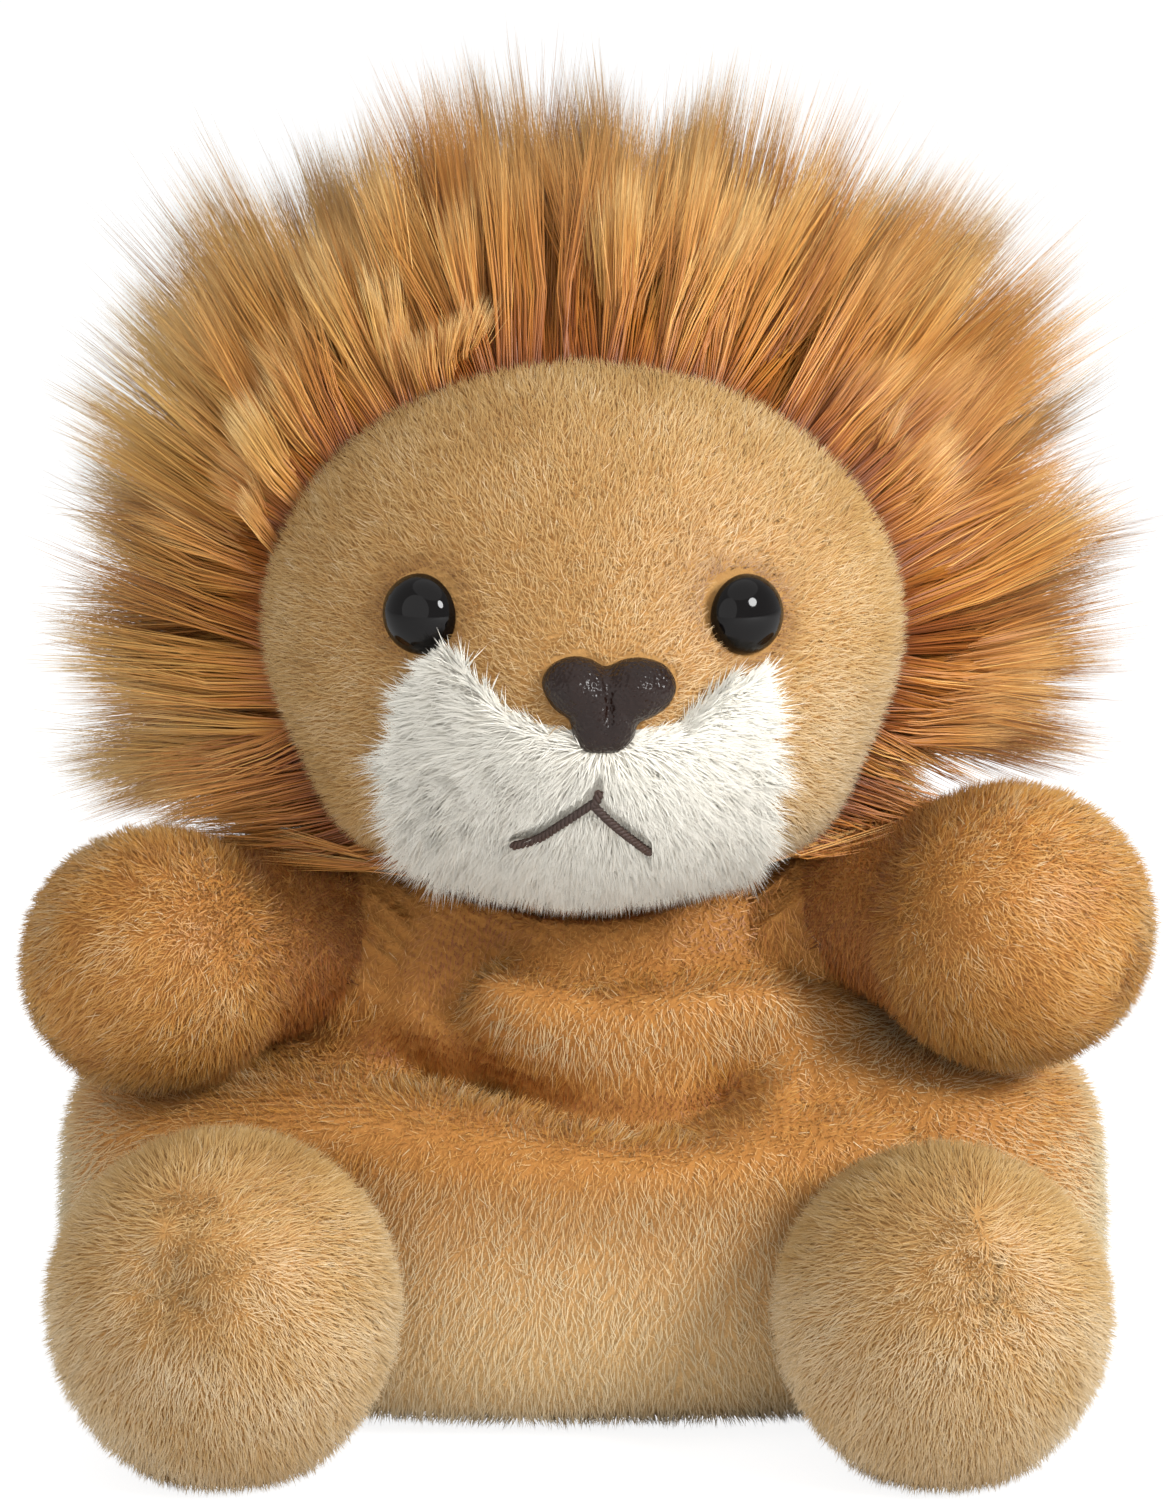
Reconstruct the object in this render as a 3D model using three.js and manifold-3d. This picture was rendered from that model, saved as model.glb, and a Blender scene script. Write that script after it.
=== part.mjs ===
// Palm-size plush lion, sitting on a sack of beads: sewn covers over soft filling, a hood of long
// fur, moulded eyes and nose held by washers, a stitched mouth and a tufted tail.
// Millimetres, +Z up. The face looks along -Y and the lion's own left is +X.
import * as THREE from 'three';
import { mergeVertices } from 'three/addons/utils/BufferGeometryUtils.js';
import Module from 'manifold-3d';

const wasm = await Module();
wasm.setup();

// Fits shared by every piece
const CLEARANCE = 0.3; // gap between pieces that touch
const COVER_WALL = 2.4; // plush fabric with its pile
const FLAT_DEPTH = 0.5; // how far a soft form is pressed flat on the table
const FACET_ALLOWANCE = 0.35; // spare room for the flats of a moving form
const STUFFING_HOLE = 4; // radius of the hole at a limb's root that it is filled through
const OVERRUN = 150; // reach of a cutting block past every piece

// Lower body, a flat-bottomed sack of beads
const SACK_HALF_WIDTH = 48;
const SACK_HALF_DEPTH = 26.5;
const SACK_HEIGHT = 35;
const SACK_SET_BACK = 2;
const SACK_FRONT_DROP_SHARE = 0.2; // how much lower the front roll is than the flanks
const SACK_PLAN_POWER = 2.4; // 2 is an oval seen from above, more is squarer
const SACK_SIDE_POWER = 4;

// Chest above the sack, and the folds of loose cloth across its front
const CHEST_HALF_WIDTH = 30;
const CHEST_HALF_DEPTH = 17.5;
const CHEST_HALF_HEIGHT = 28;
const CHEST_CENTRE_HEIGHT = 30;
const CHEST_SET_BACK = 3;
const BLEND_POWER = 14; // a higher power gives a tighter join of two forms
const CREASE_DEPTH = 3.6;
const CREASE_SPREAD = 3.4;
const ROLL_RISE = 4.6;
const ROLL_SPREAD = 5;
const FOLD_FRONT_SHARE = 0.5; // folds fade out over this share of a ray's forward part
const BODY_SEAM_SET_BACK = 6; // side seam behind the neck line
const POUCH_TOP = 24;

// Neck, a gathered ball of cloth that the head nods and turns on
const NECK_RADIUS = 10.7;
const NECK_HEIGHT = 49.5;
const NECK_THREAD_RADIUS = 0.5;

// Head
const HEAD_HALF_WIDTH = 28.7;
const HEAD_HALF_DEPTH = 21;
const HEAD_HALF_HEIGHT = 23.5;
const HEAD_LIFT = 22.5; // head centre above the neck
const HEAD_FORWARD = 9; // head centre in front of the neck
const MUZZLE_RISE = 6; // how far the muzzle swells out of the face
const MUZZLE_HALF_WIDTH = 17.6;
const MUZZLE_HALF_HEIGHT = 12;
const MUZZLE_DROP = 11; // muzzle centre below the head centre
const MUZZLE_UNDER_REACH = 9; // white cloth ends this far in front of the head centre
const FACE_SHIFT = 1.6; // nose and mouth lie this far to the lion's left

// Mane, a hood of long fur over the back of the head
const MANE_HALF_WIDTH = 47;
const MANE_HALF_DEPTH = 25;
const MANE_HALF_HEIGHT = 44;
const MANE_OUTLINE_POWER = 2.3; // 2 is an oval in the front view, more is squarer
const MANE_LIFT = 4; // mane centre above the head centre
const MANE_SET_BACK = 5;
const MANE_HEM_TILT = 2.9; // degrees, the hem is higher at the lion's left
const MANE_HEM_ROOM = 3.2; // hem above the paws

// Eyes and nose, moulded with a shank
const EYE_RADIUS = 3.5;
const EYE_DOME = 2.4;
const EYE_SPACING = 28.3;
const EYE_LIFT = 3.5; // eyes above the head centre
const EYE_YAW = 33; // degrees, each eye looks outwards
const EYE_SEAT = 1.2; // eye and nose are pressed this deep into the pile
const SHANK_RADIUS = 1.3;
const SHANK_LENGTH = 7;
const WASHER_RADIUS = 4.2;
const WASHER_THICKNESS = 1;
const WASHER_DROP = 2.4; // washer below the inside of the cloth
const NOSE_HALF_WIDTH = 5.5;
const NOSE_HALF_HEIGHT = 4;
const NOSE_BODY = 1.6;
const NOSE_ROUNDING = 1.1;
const NOSE_LIFT = 8.2; // nose above the muzzle centre
const NOSE_PITCH = 8; // degrees, the nose looks slightly up

// Mouth thread
const THREAD_RADIUS = 0.4;
const MOUTH_HALF_WIDTH = 5.3;
const MOUTH_DROP = 4.2;
const MOUTH_STUB = 1.4;
const MOUTH_STUB_GAP = 1.6; // stub below the foot of the nose
const GROOVE_END_SHARE = 1.3; // rounded end of a stitch's groove, of the groove's radius

// Arms: the lion's right arm is the lower one
const SHOULDER_RADIUS = 9;
const SHOULDER_SPACING = 46;
const SHOULDER_FORWARD = 3;
const LEFT_SHOULDER_HEIGHT = 46.8;
const RIGHT_SHOULDER_HEIGHT = 43.6;
const ARM_REACH = 18.6;
const ARM_ROOT_RADIUS = 9.2;
const LEFT_PAW_RADIUS = 13.2;
const RIGHT_PAW_RADIUS = 12.4;
const ARM_YAW = 38; // degrees, forward from straight out
const ARM_DIP = 4; // degrees, paw lower than the shoulder

// Legs: beaded feet in front of the sack
const HIP_RADIUS = 13.5;
const HIP_FORWARD = 10;
const FOOT_SPACING = 62.2;
const FOOT_FORWARD = 30;
const FOOT_HALF_DEPTH = 16.2;
const LEFT_FOOT_RADIUS = 15.1;
const RIGHT_FOOT_RADIUS = 15.8;
const FOOT_PUCKER_DEPTH = 1.8;
const FOOT_PUCKER_SPREAD = 4.5;
const FOOT_PUCKER_SHARES = [0.3, -0.86, 0.36]; // outwards, forwards and up from the foot centre

// Tail, a plush cord that curls up behind and ends in a tuft
const TAIL_RADIUS = 2.3;
const TAIL_ROOT_HEIGHT = 9;
const TAIL_REACH = 10;
const TAIL_RISE = 13;
const TAIL_BEND_SHARE = 0.33; // where the cord turns upwards, of its rise
const TUFT_RADIUS = 5.4;
const TUFT_HALF_LENGTH = 8;

// Ranges in degrees, which the soft forms leave room for
const NOD_RANGE = [-8, 10];
const TURN_RANGE = [-20, 20];
const ARM_RANGE = [-12, 18];
const LEG_RANGE = [-8, 20];
const SWEEP_STEPS = 2;

// Facet counts
const FORM = { around: 26, rings: 13 };
const BODY = { around: 30, rings: 20 };
const CORE = { around: 16, rings: 8 };
const LIMB = { around: 16, rings: 10 };
const LIMB_CORE = { around: 12, rings: 6 };
const JOINT_BALL = { around: 12, rings: 8 };
const GROOVE_END = { around: 6, rings: 4 };
const SMALL_AROUND = 12;
const HOLE_SIDES = 8;
const EYE_STEPS = 5;
const NOSE_CURVE_STEPS = 4;
const NOSE_BEVEL_STEPS = 3;
const MUZZLE_LOW_STEPS = 9;
const THREAD_SIDES = 6;
const THREAD_STEPS = 4;
const TAIL_SIDES = 6;
const TAIL_STEPS = 5;
const PASSES = 12; // rounds that settle a point on a form

const vector = (x, y, z) => new THREE.Vector3(x, y, z);
const degrees = THREE.MathUtils.degToRad;

// A manifold solid from a three.js geometry, with shared vertices merged and flat triangles dropped
function solidOf(geometry) {
  const bare = new THREE.BufferGeometry();
  bare.setAttribute('position', geometry.getAttribute('position').clone());
  if (geometry.index) bare.setIndex(geometry.index.clone());
  const merged = mergeVertices(bare);
  const corners = merged.index.array;
  const kept = [];
  for (let i = 0; i < corners.length; i += 3) {
    const [a, b, c] = corners.slice(i, i + 3);
    if (a !== b && b !== c && c !== a) kept.push(a, b, c);
  }
  return sharedSolid(merged.getAttribute('position').array, kept);
}

// A manifold solid from vertices that its triangles already share
function sharedSolid(positions, corners) {
  const mesh = new wasm.Mesh({
    numProp: 3,
    vertProperties: Float32Array.from(positions),
    triVerts: Uint32Array.from(corners),
  });
  return new wasm.Manifold(mesh);
}

function geometryOf(solid) {
  const mesh = solid.getMesh();
  const geometry = new THREE.BufferGeometry();
  geometry.setAttribute('position', new THREE.BufferAttribute(mesh.vertProperties.slice(), 3));
  geometry.setIndex(new THREE.BufferAttribute(mesh.triVerts.slice(), 1));
  return geometry;
}

// The same solid, moved by a matrix
function moved(solid, matrix) {
  const geometry = geometryOf(solid).applyMatrix4(matrix);
  return sharedSolid(geometry.getAttribute('position').array, geometry.index.array);
}

const joined = (solids) => solids.reduce((whole, next) => whole.add(next));
const without = (solid, cutters) => cutters.reduce((left, cutter) => left.subtract(cutter), solid);

// A turn by a matrix about a point
function about(point, turn) {
  const back = new THREE.Matrix4().makeTranslation(-point.x, -point.y, -point.z);
  return new THREE.Matrix4().makeTranslation(point.x, point.y, point.z).multiply(turn).multiply(back);
}

// A closed form round a centre, whose distance from the centre is a function of direction
function radialSolid(centre, reach, { around, rings }, matrix = new THREE.Matrix4()) {
  const points = [];
  const put = (ray) => points.push(centre.clone().addScaledVector(ray, reach(ray)));
  put(vector(0, 0, -1));
  for (let ring = 1; ring < rings; ring += 1) {
    const climb = (ring / rings - 1 / 2) * Math.PI;
    for (let step = 0; step < around; step += 1) {
      const turn = (step / around) * 2 * Math.PI;
      put(vector(Math.cos(climb) * Math.cos(turn), Math.cos(climb) * Math.sin(turn), Math.sin(climb)));
    }
  }
  put(vector(0, 0, 1));
  const top = points.length - 1;
  const at = (ring, step) => 1 + (ring - 1) * around + (step % around);
  const corners = [];
  for (let step = 0; step < around; step += 1) {
    corners.push(0, at(1, step + 1), at(1, step));
    for (let ring = 1; ring < rings - 1; ring += 1) {
      const [a, b] = [at(ring, step), at(ring, step + 1)];
      const [c, d] = [at(ring + 1, step), at(ring + 1, step + 1)];
      corners.push(a, b, d, a, d, c);
    }
    corners.push(at(rings - 1, step), at(rings - 1, step + 1), top);
  }
  points.forEach((point) => point.applyMatrix4(matrix));
  return sharedSolid(points.flatMap((point) => point.toArray()), corners);
}

// Where a ray from inside leaves an ellipsoid
function ellipsoidReach(ray, from, centre, radii) {
  const along = ray.clone().divide(radii);
  const start = from.clone().sub(centre).divide(radii);
  const a = along.dot(along);
  const b = start.dot(along);
  const c = start.dot(start) - 1;
  const spread = b * b - a * c;
  return spread < 0 ? 0 : (Math.sqrt(spread) - b) / a;
}

// The largest of several reaches, with the join between them rounded
const blend = (reaches, power) => reaches.reduce((sum, r) => sum + r ** power, 0) ** (1 / power);

const ball = (centre, radius, facets) => radialSolid(centre, () => radius, facets);

// A ball whose flats, not its corners, lie at the radius: the room for another ball
const socket = (centre, radius, facets) => ball(centre, radius / Math.cos(Math.PI / facets.around), facets);

// A block from one corner to another
function block(low, high) {
  const size = high.clone().sub(low);
  const middle = low.clone().add(high).multiplyScalar(1 / 2);
  const geometry = new THREE.BoxGeometry(size.x, size.y, size.z);
  return solidOf(geometry.translate(middle.x, middle.y, middle.z));
}

const wide = vector(OVERRUN, OVERRUN, OVERRUN);
const above = (height) => block(vector(-OVERRUN, -OVERRUN, height), wide);
const below = (height) => block(wide.clone().negate(), vector(OVERRUN, OVERRUN, height));
const behind = (y) => block(vector(-OVERRUN, y, -OVERRUN), wide);
const inFrontOf = (y) => block(wide.clone().negate(), vector(OVERRUN, y, OVERRUN));

// A turned piece from a profile of [radius, height] pairs, standing along +Z
function turned(profile, around) {
  const points = profile.map(([radius, height]) => new THREE.Vector2(radius, height));
  return new THREE.LatheGeometry(points, around).rotateX(Math.PI / 2);
}

// The place of a piece that stands along +Z, set at a point and aimed along a direction
function aimed(point, direction) {
  const side = vector(0, 0, 1).cross(direction).normalize();
  const up = direction.clone().cross(side);
  return new THREE.Matrix4().makeBasis(side, up, direction).setPosition(point);
}

// A round thread or cord along a curve
function cord(curve, radius, sides, steps) {
  const section = new THREE.Shape();
  section.absarc(0, 0, radius, 0, 2 * Math.PI);
  const points = section.getPoints(sides / 2).slice(0, sides);
  return new THREE.ExtrudeGeometry(new THREE.Shape(points), { steps, extrudePath: curve });
}

// Body form: the sack and the chest, blended, with a crease over the belly roll and a slack roll
// of cloth that crosses the chest. Fold points are shares of the sack's half width and height.
const sackHalfHeight = (SACK_HEIGHT + FLAT_DEPTH) / 2;
const bodyCentre = vector(0, SACK_SET_BACK, sackHalfHeight - FLAT_DEPTH);
const chestCentre = vector(0, CHEST_SET_BACK, CHEST_CENTRE_HEIGHT);
const chestRadii = vector(CHEST_HALF_WIDTH, CHEST_HALF_DEPTH, CHEST_HALF_HEIGHT);
const foldLine = (shares) => shares.map(
  ([x, z]) => new THREE.Vector2(x * SACK_HALF_WIDTH, z * SACK_HEIGHT),
);
const bellyCreaseShares = [
  [-0.94, 0.92], [-0.71, 0.95], [-0.4, 0.98], [-0.04, 0.88], [0.1, 0.85], [0.29, 0.9],
];
const chestCreaseShares = [[-0.2, 1.25], [-0.26, 1.06]];
const rollShares = [[-0.17, 1.06], [0.03, 1], [0.31, 1.04], [0.56, 0.99], [0.75, 0.93]];
const folds = [
  { line: foldLine(bellyCreaseShares), rise: -CREASE_DEPTH, spread: CREASE_SPREAD },
  { line: foldLine(chestCreaseShares), rise: -CREASE_DEPTH, spread: CREASE_SPREAD },
  { line: foldLine(rollShares), rise: ROLL_RISE, spread: ROLL_SPREAD },
];

function sackReach(ray) {
  const drop = ray.z > 0 ? 1 - SACK_FRONT_DROP_SHARE * Math.max(0, -ray.y) : 1;
  const p = SACK_PLAN_POWER;
  const q = SACK_SIDE_POWER;
  const x = Math.abs(ray.x / SACK_HALF_WIDTH);
  const y = Math.abs(ray.y / SACK_HALF_DEPTH);
  const z = Math.abs(ray.z / (sackHalfHeight * drop));
  return ((x ** p + y ** p) ** (q / p) + z ** q) ** (-1 / q);
}

// Distance in the front view from a spot to the nearest point of a broken line
function lineDistance(spot, line) {
  let least = Infinity;
  for (let i = 1; i < line.length; i += 1) {
    const run = line[i].clone().sub(line[i - 1]);
    const offset = spot.clone().sub(line[i - 1]);
    const share = THREE.MathUtils.clamp(offset.dot(run) / run.lengthSq(), 0, 1);
    least = Math.min(least, offset.distanceTo(run.multiplyScalar(share)));
  }
  return least;
}

function foldRise(point) {
  const spot = new THREE.Vector2(point.x, point.z);
  let rise = 0;
  for (const fold of folds) {
    rise += fold.rise * Math.exp(-((lineDistance(spot, fold.line) / fold.spread) ** 2));
  }
  return rise;
}

function bodyReach(ray) {
  const chest = ellipsoidReach(ray, bodyCentre, chestCentre, chestRadii);
  const reach = blend([sackReach(ray), chest], BLEND_POWER);
  const front = THREE.MathUtils.clamp(-ray.y / FOLD_FRONT_SHARE, 0, 1);
  return reach + front * foldRise(bodyCentre.clone().addScaledVector(ray, reach));
}

const bodyForm = (growth) => radialSolid(bodyCentre, (ray) => bodyReach(ray) + growth, BODY);

// Head form: an egg on its side with the muzzle swelling out of its lower front
const headCentre = vector(0, -HEAD_FORWARD, NECK_HEIGHT + HEAD_LIFT);
const headRadii = vector(HEAD_HALF_WIDTH, HEAD_HALF_DEPTH, HEAD_HALF_HEIGHT);
const muzzleHeight = headCentre.z - MUZZLE_DROP;

function headReach(ray) {
  const reach = ellipsoidReach(ray, headCentre, headCentre, headRadii);
  const point = headCentre.clone().addScaledVector(ray, reach);
  const x = (point.x - FACE_SHIFT) / MUZZLE_HALF_WIDTH;
  const z = (point.z - muzzleHeight) / MUZZLE_HALF_HEIGHT;
  return reach + MUZZLE_RISE * Math.max(0, -ray.y) * Math.exp(-x * x - z * z);
}

const headForm = (growth, facets) => radialSolid(headCentre, (ray) => headReach(ray) + growth, facets);

// The point of the head's front at a place in the front view, moved out along the ray by some growth
function onHead(x, z, growth = 0) {
  const ray = vector(x, -HEAD_HALF_DEPTH, z - headCentre.z).normalize();
  for (let pass = 0; pass < PASSES; pass += 1) {
    const reach = headReach(ray);
    const flat = (x * x + (z - headCentre.z) ** 2) / reach ** 2;
    ray.set(x / reach, -Math.sqrt(Math.max(0, 1 - flat)), (z - headCentre.z) / reach).normalize();
  }
  return headCentre.clone().addScaledVector(ray, headReach(ray) + growth);
}

// The chest keeps clear of the head by how far a nod lowers its underside and a turn moves it aside
const neckPoint = vector(0, 0, NECK_HEIGHT);
const nodRoom = CHEST_HALF_DEPTH * Math.sin(degrees(NOD_RANGE[1]));
const turnRoom = HEAD_FORWARD * Math.sin(degrees(TURN_RANGE[1]));
const motionRoom = Math.hypot(nodRoom, turnRoom);

// Places of the limbs, in the order right and left
const arms = [
  { name: 'right', side: -1, height: RIGHT_SHOULDER_HEIGHT, paw: RIGHT_PAW_RADIUS },
  { name: 'left', side: 1, height: LEFT_SHOULDER_HEIGHT, paw: LEFT_PAW_RADIUS },
];
for (const arm of arms) {
  arm.shoulder = vector((arm.side * SHOULDER_SPACING) / 2, -SHOULDER_FORWARD, arm.height);
  const heading = arm.side > 0 ? -ARM_YAW : 180 + ARM_YAW;
  const turn = new THREE.Matrix4().makeRotationZ(degrees(heading));
  const dip = new THREE.Matrix4().makeRotationY(degrees(ARM_DIP));
  arm.place = new THREE.Matrix4().makeTranslation(arm.shoulder).multiply(turn).multiply(dip);
  arm.top = arm.height - ARM_REACH * Math.sin(degrees(ARM_DIP)) + arm.paw;
}
const legs = [
  { name: 'right', side: -1, radius: RIGHT_FOOT_RADIUS },
  { name: 'left', side: 1, radius: LEFT_FOOT_RADIUS },
];
for (const leg of legs) {
  const height = leg.radius - FLAT_DEPTH;
  leg.hip = vector((leg.side * FOOT_SPACING) / 2, -HIP_FORWARD, height);
  leg.foot = vector((leg.side * FOOT_SPACING) / 2, -FOOT_FORWARD, height);
}
const footTop = Math.max(...legs.map((leg) => leg.foot.z + leg.radius));
const armFloor = footTop + 2 * CLEARANCE;

// Hem of the mane: a plane that climbs to the lion's left and clears both paws
const hemSlope = Math.tan(degrees(MANE_HEM_TILT));
const hemHeight = Math.max(
  ...arms.map((arm) => arm.top - (hemSlope * arm.side * SHOULDER_SPACING) / 2),
) + MANE_HEM_ROOM;
const hemTurn = about(vector(0, 0, hemHeight), new THREE.Matrix4().makeRotationY(-degrees(MANE_HEM_TILT)));
const maneCentre = vector(0, MANE_SET_BACK, headCentre.z + MANE_LIFT);

function maneReach(ray) {
  const x = Math.abs(ray.x / MANE_HALF_WIDTH);
  const y = Math.abs(ray.y / MANE_HALF_DEPTH);
  const z = Math.abs(ray.z / MANE_HALF_HEIGHT);
  const outline = (x ** MANE_OUTLINE_POWER + z ** MANE_OUTLINE_POWER) ** (1 / MANE_OUTLINE_POWER);
  return 1 / Math.hypot(outline, y);
}

const maneForm = (growth, facets) => radialSolid(maneCentre, (ray) => maneReach(ray) + growth, facets)
  .subtract(moved(below(hemHeight - growth), hemTurn));

// What the body and the limbs are cut by
const headRoom = (growth) => headForm(growth + motionRoom + FACET_ALLOWANCE, CORE);
const neckSocket = socket(neckPoint, NECK_RADIUS + CLEARANCE, JOINT_BALL);

// Body pieces
const balls = [
  ...arms.map((arm) => ball(arm.shoulder, SHOULDER_RADIUS, JOINT_BALL)),
  ...legs.map((leg) => ball(leg.hip, HIP_RADIUS, JOINT_BALL)),
];
const bodyHollow = (growth) => bodyForm(growth - COVER_WALL)
  .subtract(below(COVER_WALL - growth))
  .subtract(headRoom(CLEARANCE + COVER_WALL - growth));
const bodyOutside = joined([bodyForm(0), ...balls]);
const bodyShell = without(bodyOutside, [below(0), bodyHollow(0), headRoom(CLEARANCE), neckSocket]);
const seamFront = BODY_SEAM_SET_BACK - CLEARANCE / 2;
const bellyPanel = bodyShell.subtract(behind(seamFront));
const backPanel = bodyShell.subtract(inFrontOf(seamFront + CLEARANCE));
const bodyCore = bodyHollow(-CLEARANCE).subtract(neckSocket);
const pelletPouch = bodyCore.subtract(above(POUCH_TOP));
const chestFill = bodyCore.subtract(below(POUCH_TOP + CLEARANCE));
const bodyRoom = bodyForm(CLEARANCE + FACET_ALLOWANCE);

// Cuts a limb by its joint ball, and by what stands in its way at each step of its swing
function clearedLimb(limb, pivot, radius, range, sign, obstacle) {
  let left = limb.subtract(socket(pivot, radius, JOINT_BALL));
  for (let step = 0; step <= SWEEP_STEPS; step += 1) {
    const angle = range[0] + ((range[1] - range[0]) * step) / SWEEP_STEPS;
    const back = new THREE.Matrix4().makeRotationZ(-degrees(sign * angle));
    left = left.subtract(moved(obstacle, about(pivot, back)));
  }
  return left;
}

// A limb's cover and filling: the hollow keeps a wall at the root, with a hole to fill it through
function limbPieces(form, floor, pivot, radius, centre, clear) {
  const hollow = (shrink) => form(-COVER_WALL - shrink, LIMB_CORE)
    .subtract(below(floor + COVER_WALL + shrink))
    .subtract(socket(pivot, radius + CLEARANCE + COVER_WALL + shrink, LIMB_CORE));
  const hole = solidOf(cord(new THREE.LineCurve3(pivot, centre), STUFFING_HOLE, HOLE_SIDES, 1));
  const outside = clear(form(0, LIMB).subtract(below(floor)));
  return { cover: without(outside, [hollow(0), hole]), fill: clear(hollow(CLEARANCE)) };
}

// Arm form in its own frame: from the shoulder at zero along +X to a round paw
const armObstacle = joined([bodyRoom, headRoom(CLEARANCE)]);
const armPieces = arms.map((arm) => {
  const pawCentre = vector(ARM_REACH, 0, 0);
  const rootCentre = vector(ARM_REACH / 2, 0, 0);
  const rootRadii = vector(ARM_REACH / 2 + ARM_ROOT_RADIUS, ARM_ROOT_RADIUS, ARM_ROOT_RADIUS);
  const form = (growth, facets) => radialSolid(pawCentre, (ray) => (
    blend([arm.paw, ellipsoidReach(ray, pawCentre, rootCentre, rootRadii)], BLEND_POWER) + growth
  ), facets, arm.place);
  const room = SHOULDER_RADIUS + CLEARANCE;
  const clear = (solid) => clearedLimb(solid, arm.shoulder, room, ARM_RANGE, -arm.side, armObstacle);
  const centre = pawCentre.clone().applyMatrix4(arm.place);
  return { name: arm.name, ...limbPieces(form, armFloor, arm.shoulder, SHOULDER_RADIUS, centre, clear) };
});

// Foot form: a beaded ball with a puckered dimple high on its front
const legPieces = legs.map((leg) => {
  const radii = vector(leg.radius, FOOT_HALF_DEPTH, leg.radius);
  const [out, forward, up] = FOOT_PUCKER_SHARES;
  const pucker = vector(out * leg.side, forward, up).normalize();
  const form = (growth, facets) => radialSolid(leg.foot, (ray) => {
    const distance = ray.distanceTo(pucker) * leg.radius;
    const dip = FOOT_PUCKER_DEPTH * Math.exp(-((distance / FOOT_PUCKER_SPREAD) ** 2));
    return ellipsoidReach(ray, leg.foot, leg.foot, radii) - dip + growth;
  }, facets);
  const room = HIP_RADIUS + CLEARANCE;
  const clear = (solid) => clearedLimb(solid, leg.hip, room, LEG_RANGE, leg.side, bodyRoom);
  return { name: leg.name, ...limbPieces(form, 0, leg.hip, HIP_RADIUS, leg.foot, clear) };
});

// Neck: the gathered ball and the draw thread that closes it, sunk in its groove
const threadRing = (growth) => {
  const radius = NECK_THREAD_RADIUS + growth;
  const middle = NECK_RADIUS - NECK_THREAD_RADIUS;
  const profile = [];
  for (let side = 0; side <= THREAD_SIDES; side += 1) {
    const turn = (side / THREAD_SIDES) * 2 * Math.PI;
    profile.push([middle + radius * Math.cos(turn), radius * Math.sin(turn)]);
  }
  return solidOf(turned(profile, JOINT_BALL.around).translate(0, 0, NECK_HEIGHT));
};
const neckGather = ball(neckPoint, NECK_RADIUS, JOINT_BALL).subtract(threadRing(CLEARANCE));

// Head shell, split into the face, the white muzzle and the hood of fur behind
const headOutside = headForm(0, FORM);
const headHollow = headForm(-COVER_WALL, CORE);
const headShell = headOutside.subtract(headHollow);
const hoodBlock = (inset) => moved(above(hemHeight + inset), hemTurn)
  .subtract(inFrontOf(-HEAD_FORWARD + inset));

// Muzzle outline in shares of its half width and half height: two cheeks with a notch for the nose
const muzzleTopShares = [
  [0.98, 0.4], [0.8, 0.92], [0.42, 0.46], [0.08, 0.34], [-0.26, 0.46], [-0.74, 0.94], [-1, 0.5],
];
const muzzleLowShares = [
  [-1.01, 0], [-0.94, -0.6], [-0.62, -1.1], [0, -1.5], [0.66, -1.1], [0.97, -0.6], [1.01, 0],
];

function muzzleOutline() {
  const place = ([x, z]) => new THREE.Vector2(
    FACE_SHIFT / 2 + x * MUZZLE_HALF_WIDTH,
    muzzleHeight + z * MUZZLE_HALF_HEIGHT,
  );
  const low = new THREE.SplineCurve(muzzleLowShares.map(place)).getPoints(MUZZLE_LOW_STEPS);
  return [...muzzleTopShares.map(place), ...low];
}

// The outline moved outwards by a distance, corner by corner
function grownOutline(points, distance) {
  return points.map((point, index) => {
    const before = points[(index + points.length - 1) % points.length];
    const after = points[(index + 1) % points.length];
    const normals = [[before, point], [point, after]].map(([from, to]) => {
      const run = to.clone().sub(from).normalize();
      return new THREE.Vector2(run.y, -run.x);
    });
    const middle = normals[0].clone().add(normals[1]).normalize();
    return point.clone().addScaledVector(middle, distance / middle.dot(normals[0]));
  });
}

function muzzlePrism(growth) {
  const outline = muzzleOutline();
  const outwards = THREE.ShapeUtils.isClockWise(outline) ? -growth : growth;
  const shape = new THREE.Shape(grownOutline(outline, outwards));
  const geometry = new THREE.ExtrudeGeometry(shape, { depth: OVERRUN, bevelEnabled: false });
  geometry.rotateX(Math.PI / 2).translate(0, growth - HEAD_FORWARD - MUZZLE_UNDER_REACH, 0);
  return solidOf(geometry);
}

// Eyes and nose: where each sits, which way it looks, and the holes that its shank and washer need
const eyeAim = (side) => vector(side * Math.sin(degrees(EYE_YAW)), -Math.cos(degrees(EYE_YAW)), 0);
const noseAim = vector(0, -Math.cos(degrees(NOSE_PITCH)), Math.sin(degrees(NOSE_PITCH)));
const seated = (x, z, aim) => aimed(onHead(x, z).addScaledVector(aim, CLEARANCE - EYE_SEAT), aim);
const eyeHeight = headCentre.z + EYE_LIFT;
const noseHeight = muzzleHeight + NOSE_LIFT;
const eyePlaces = [-1, 1].map((side) => seated((side * EYE_SPACING) / 2, eyeHeight, eyeAim(side)));
const nosePlace = seated(FACE_SHIFT, noseHeight, noseAim);
const washerDepth = COVER_WALL + WASHER_DROP - EYE_SEAT;
const disc = (radius, low, high, matrix) => {
  const profile = [[0, low], [radius, low], [radius, high], [0, high]];
  return moved(solidOf(turned(profile, SMALL_AROUND)), matrix);
};
const shankHole = (matrix) => disc(SHANK_RADIUS + CLEARANCE, -SHANK_LENGTH - CLEARANCE, 0, matrix);
const washer = (matrix) => disc(WASHER_RADIUS, -washerDepth - WASHER_THICKNESS, -washerDepth, matrix)
  .subtract(shankHole(matrix));
const washerRoom = (matrix) => disc(
  WASHER_RADIUS + CLEARANCE,
  -washerDepth - WASHER_THICKNESS - CLEARANCE,
  0,
  matrix,
);
const shank = (matrix) => disc(SHANK_RADIUS, -SHANK_LENGTH, CLEARANCE, matrix);

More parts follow.
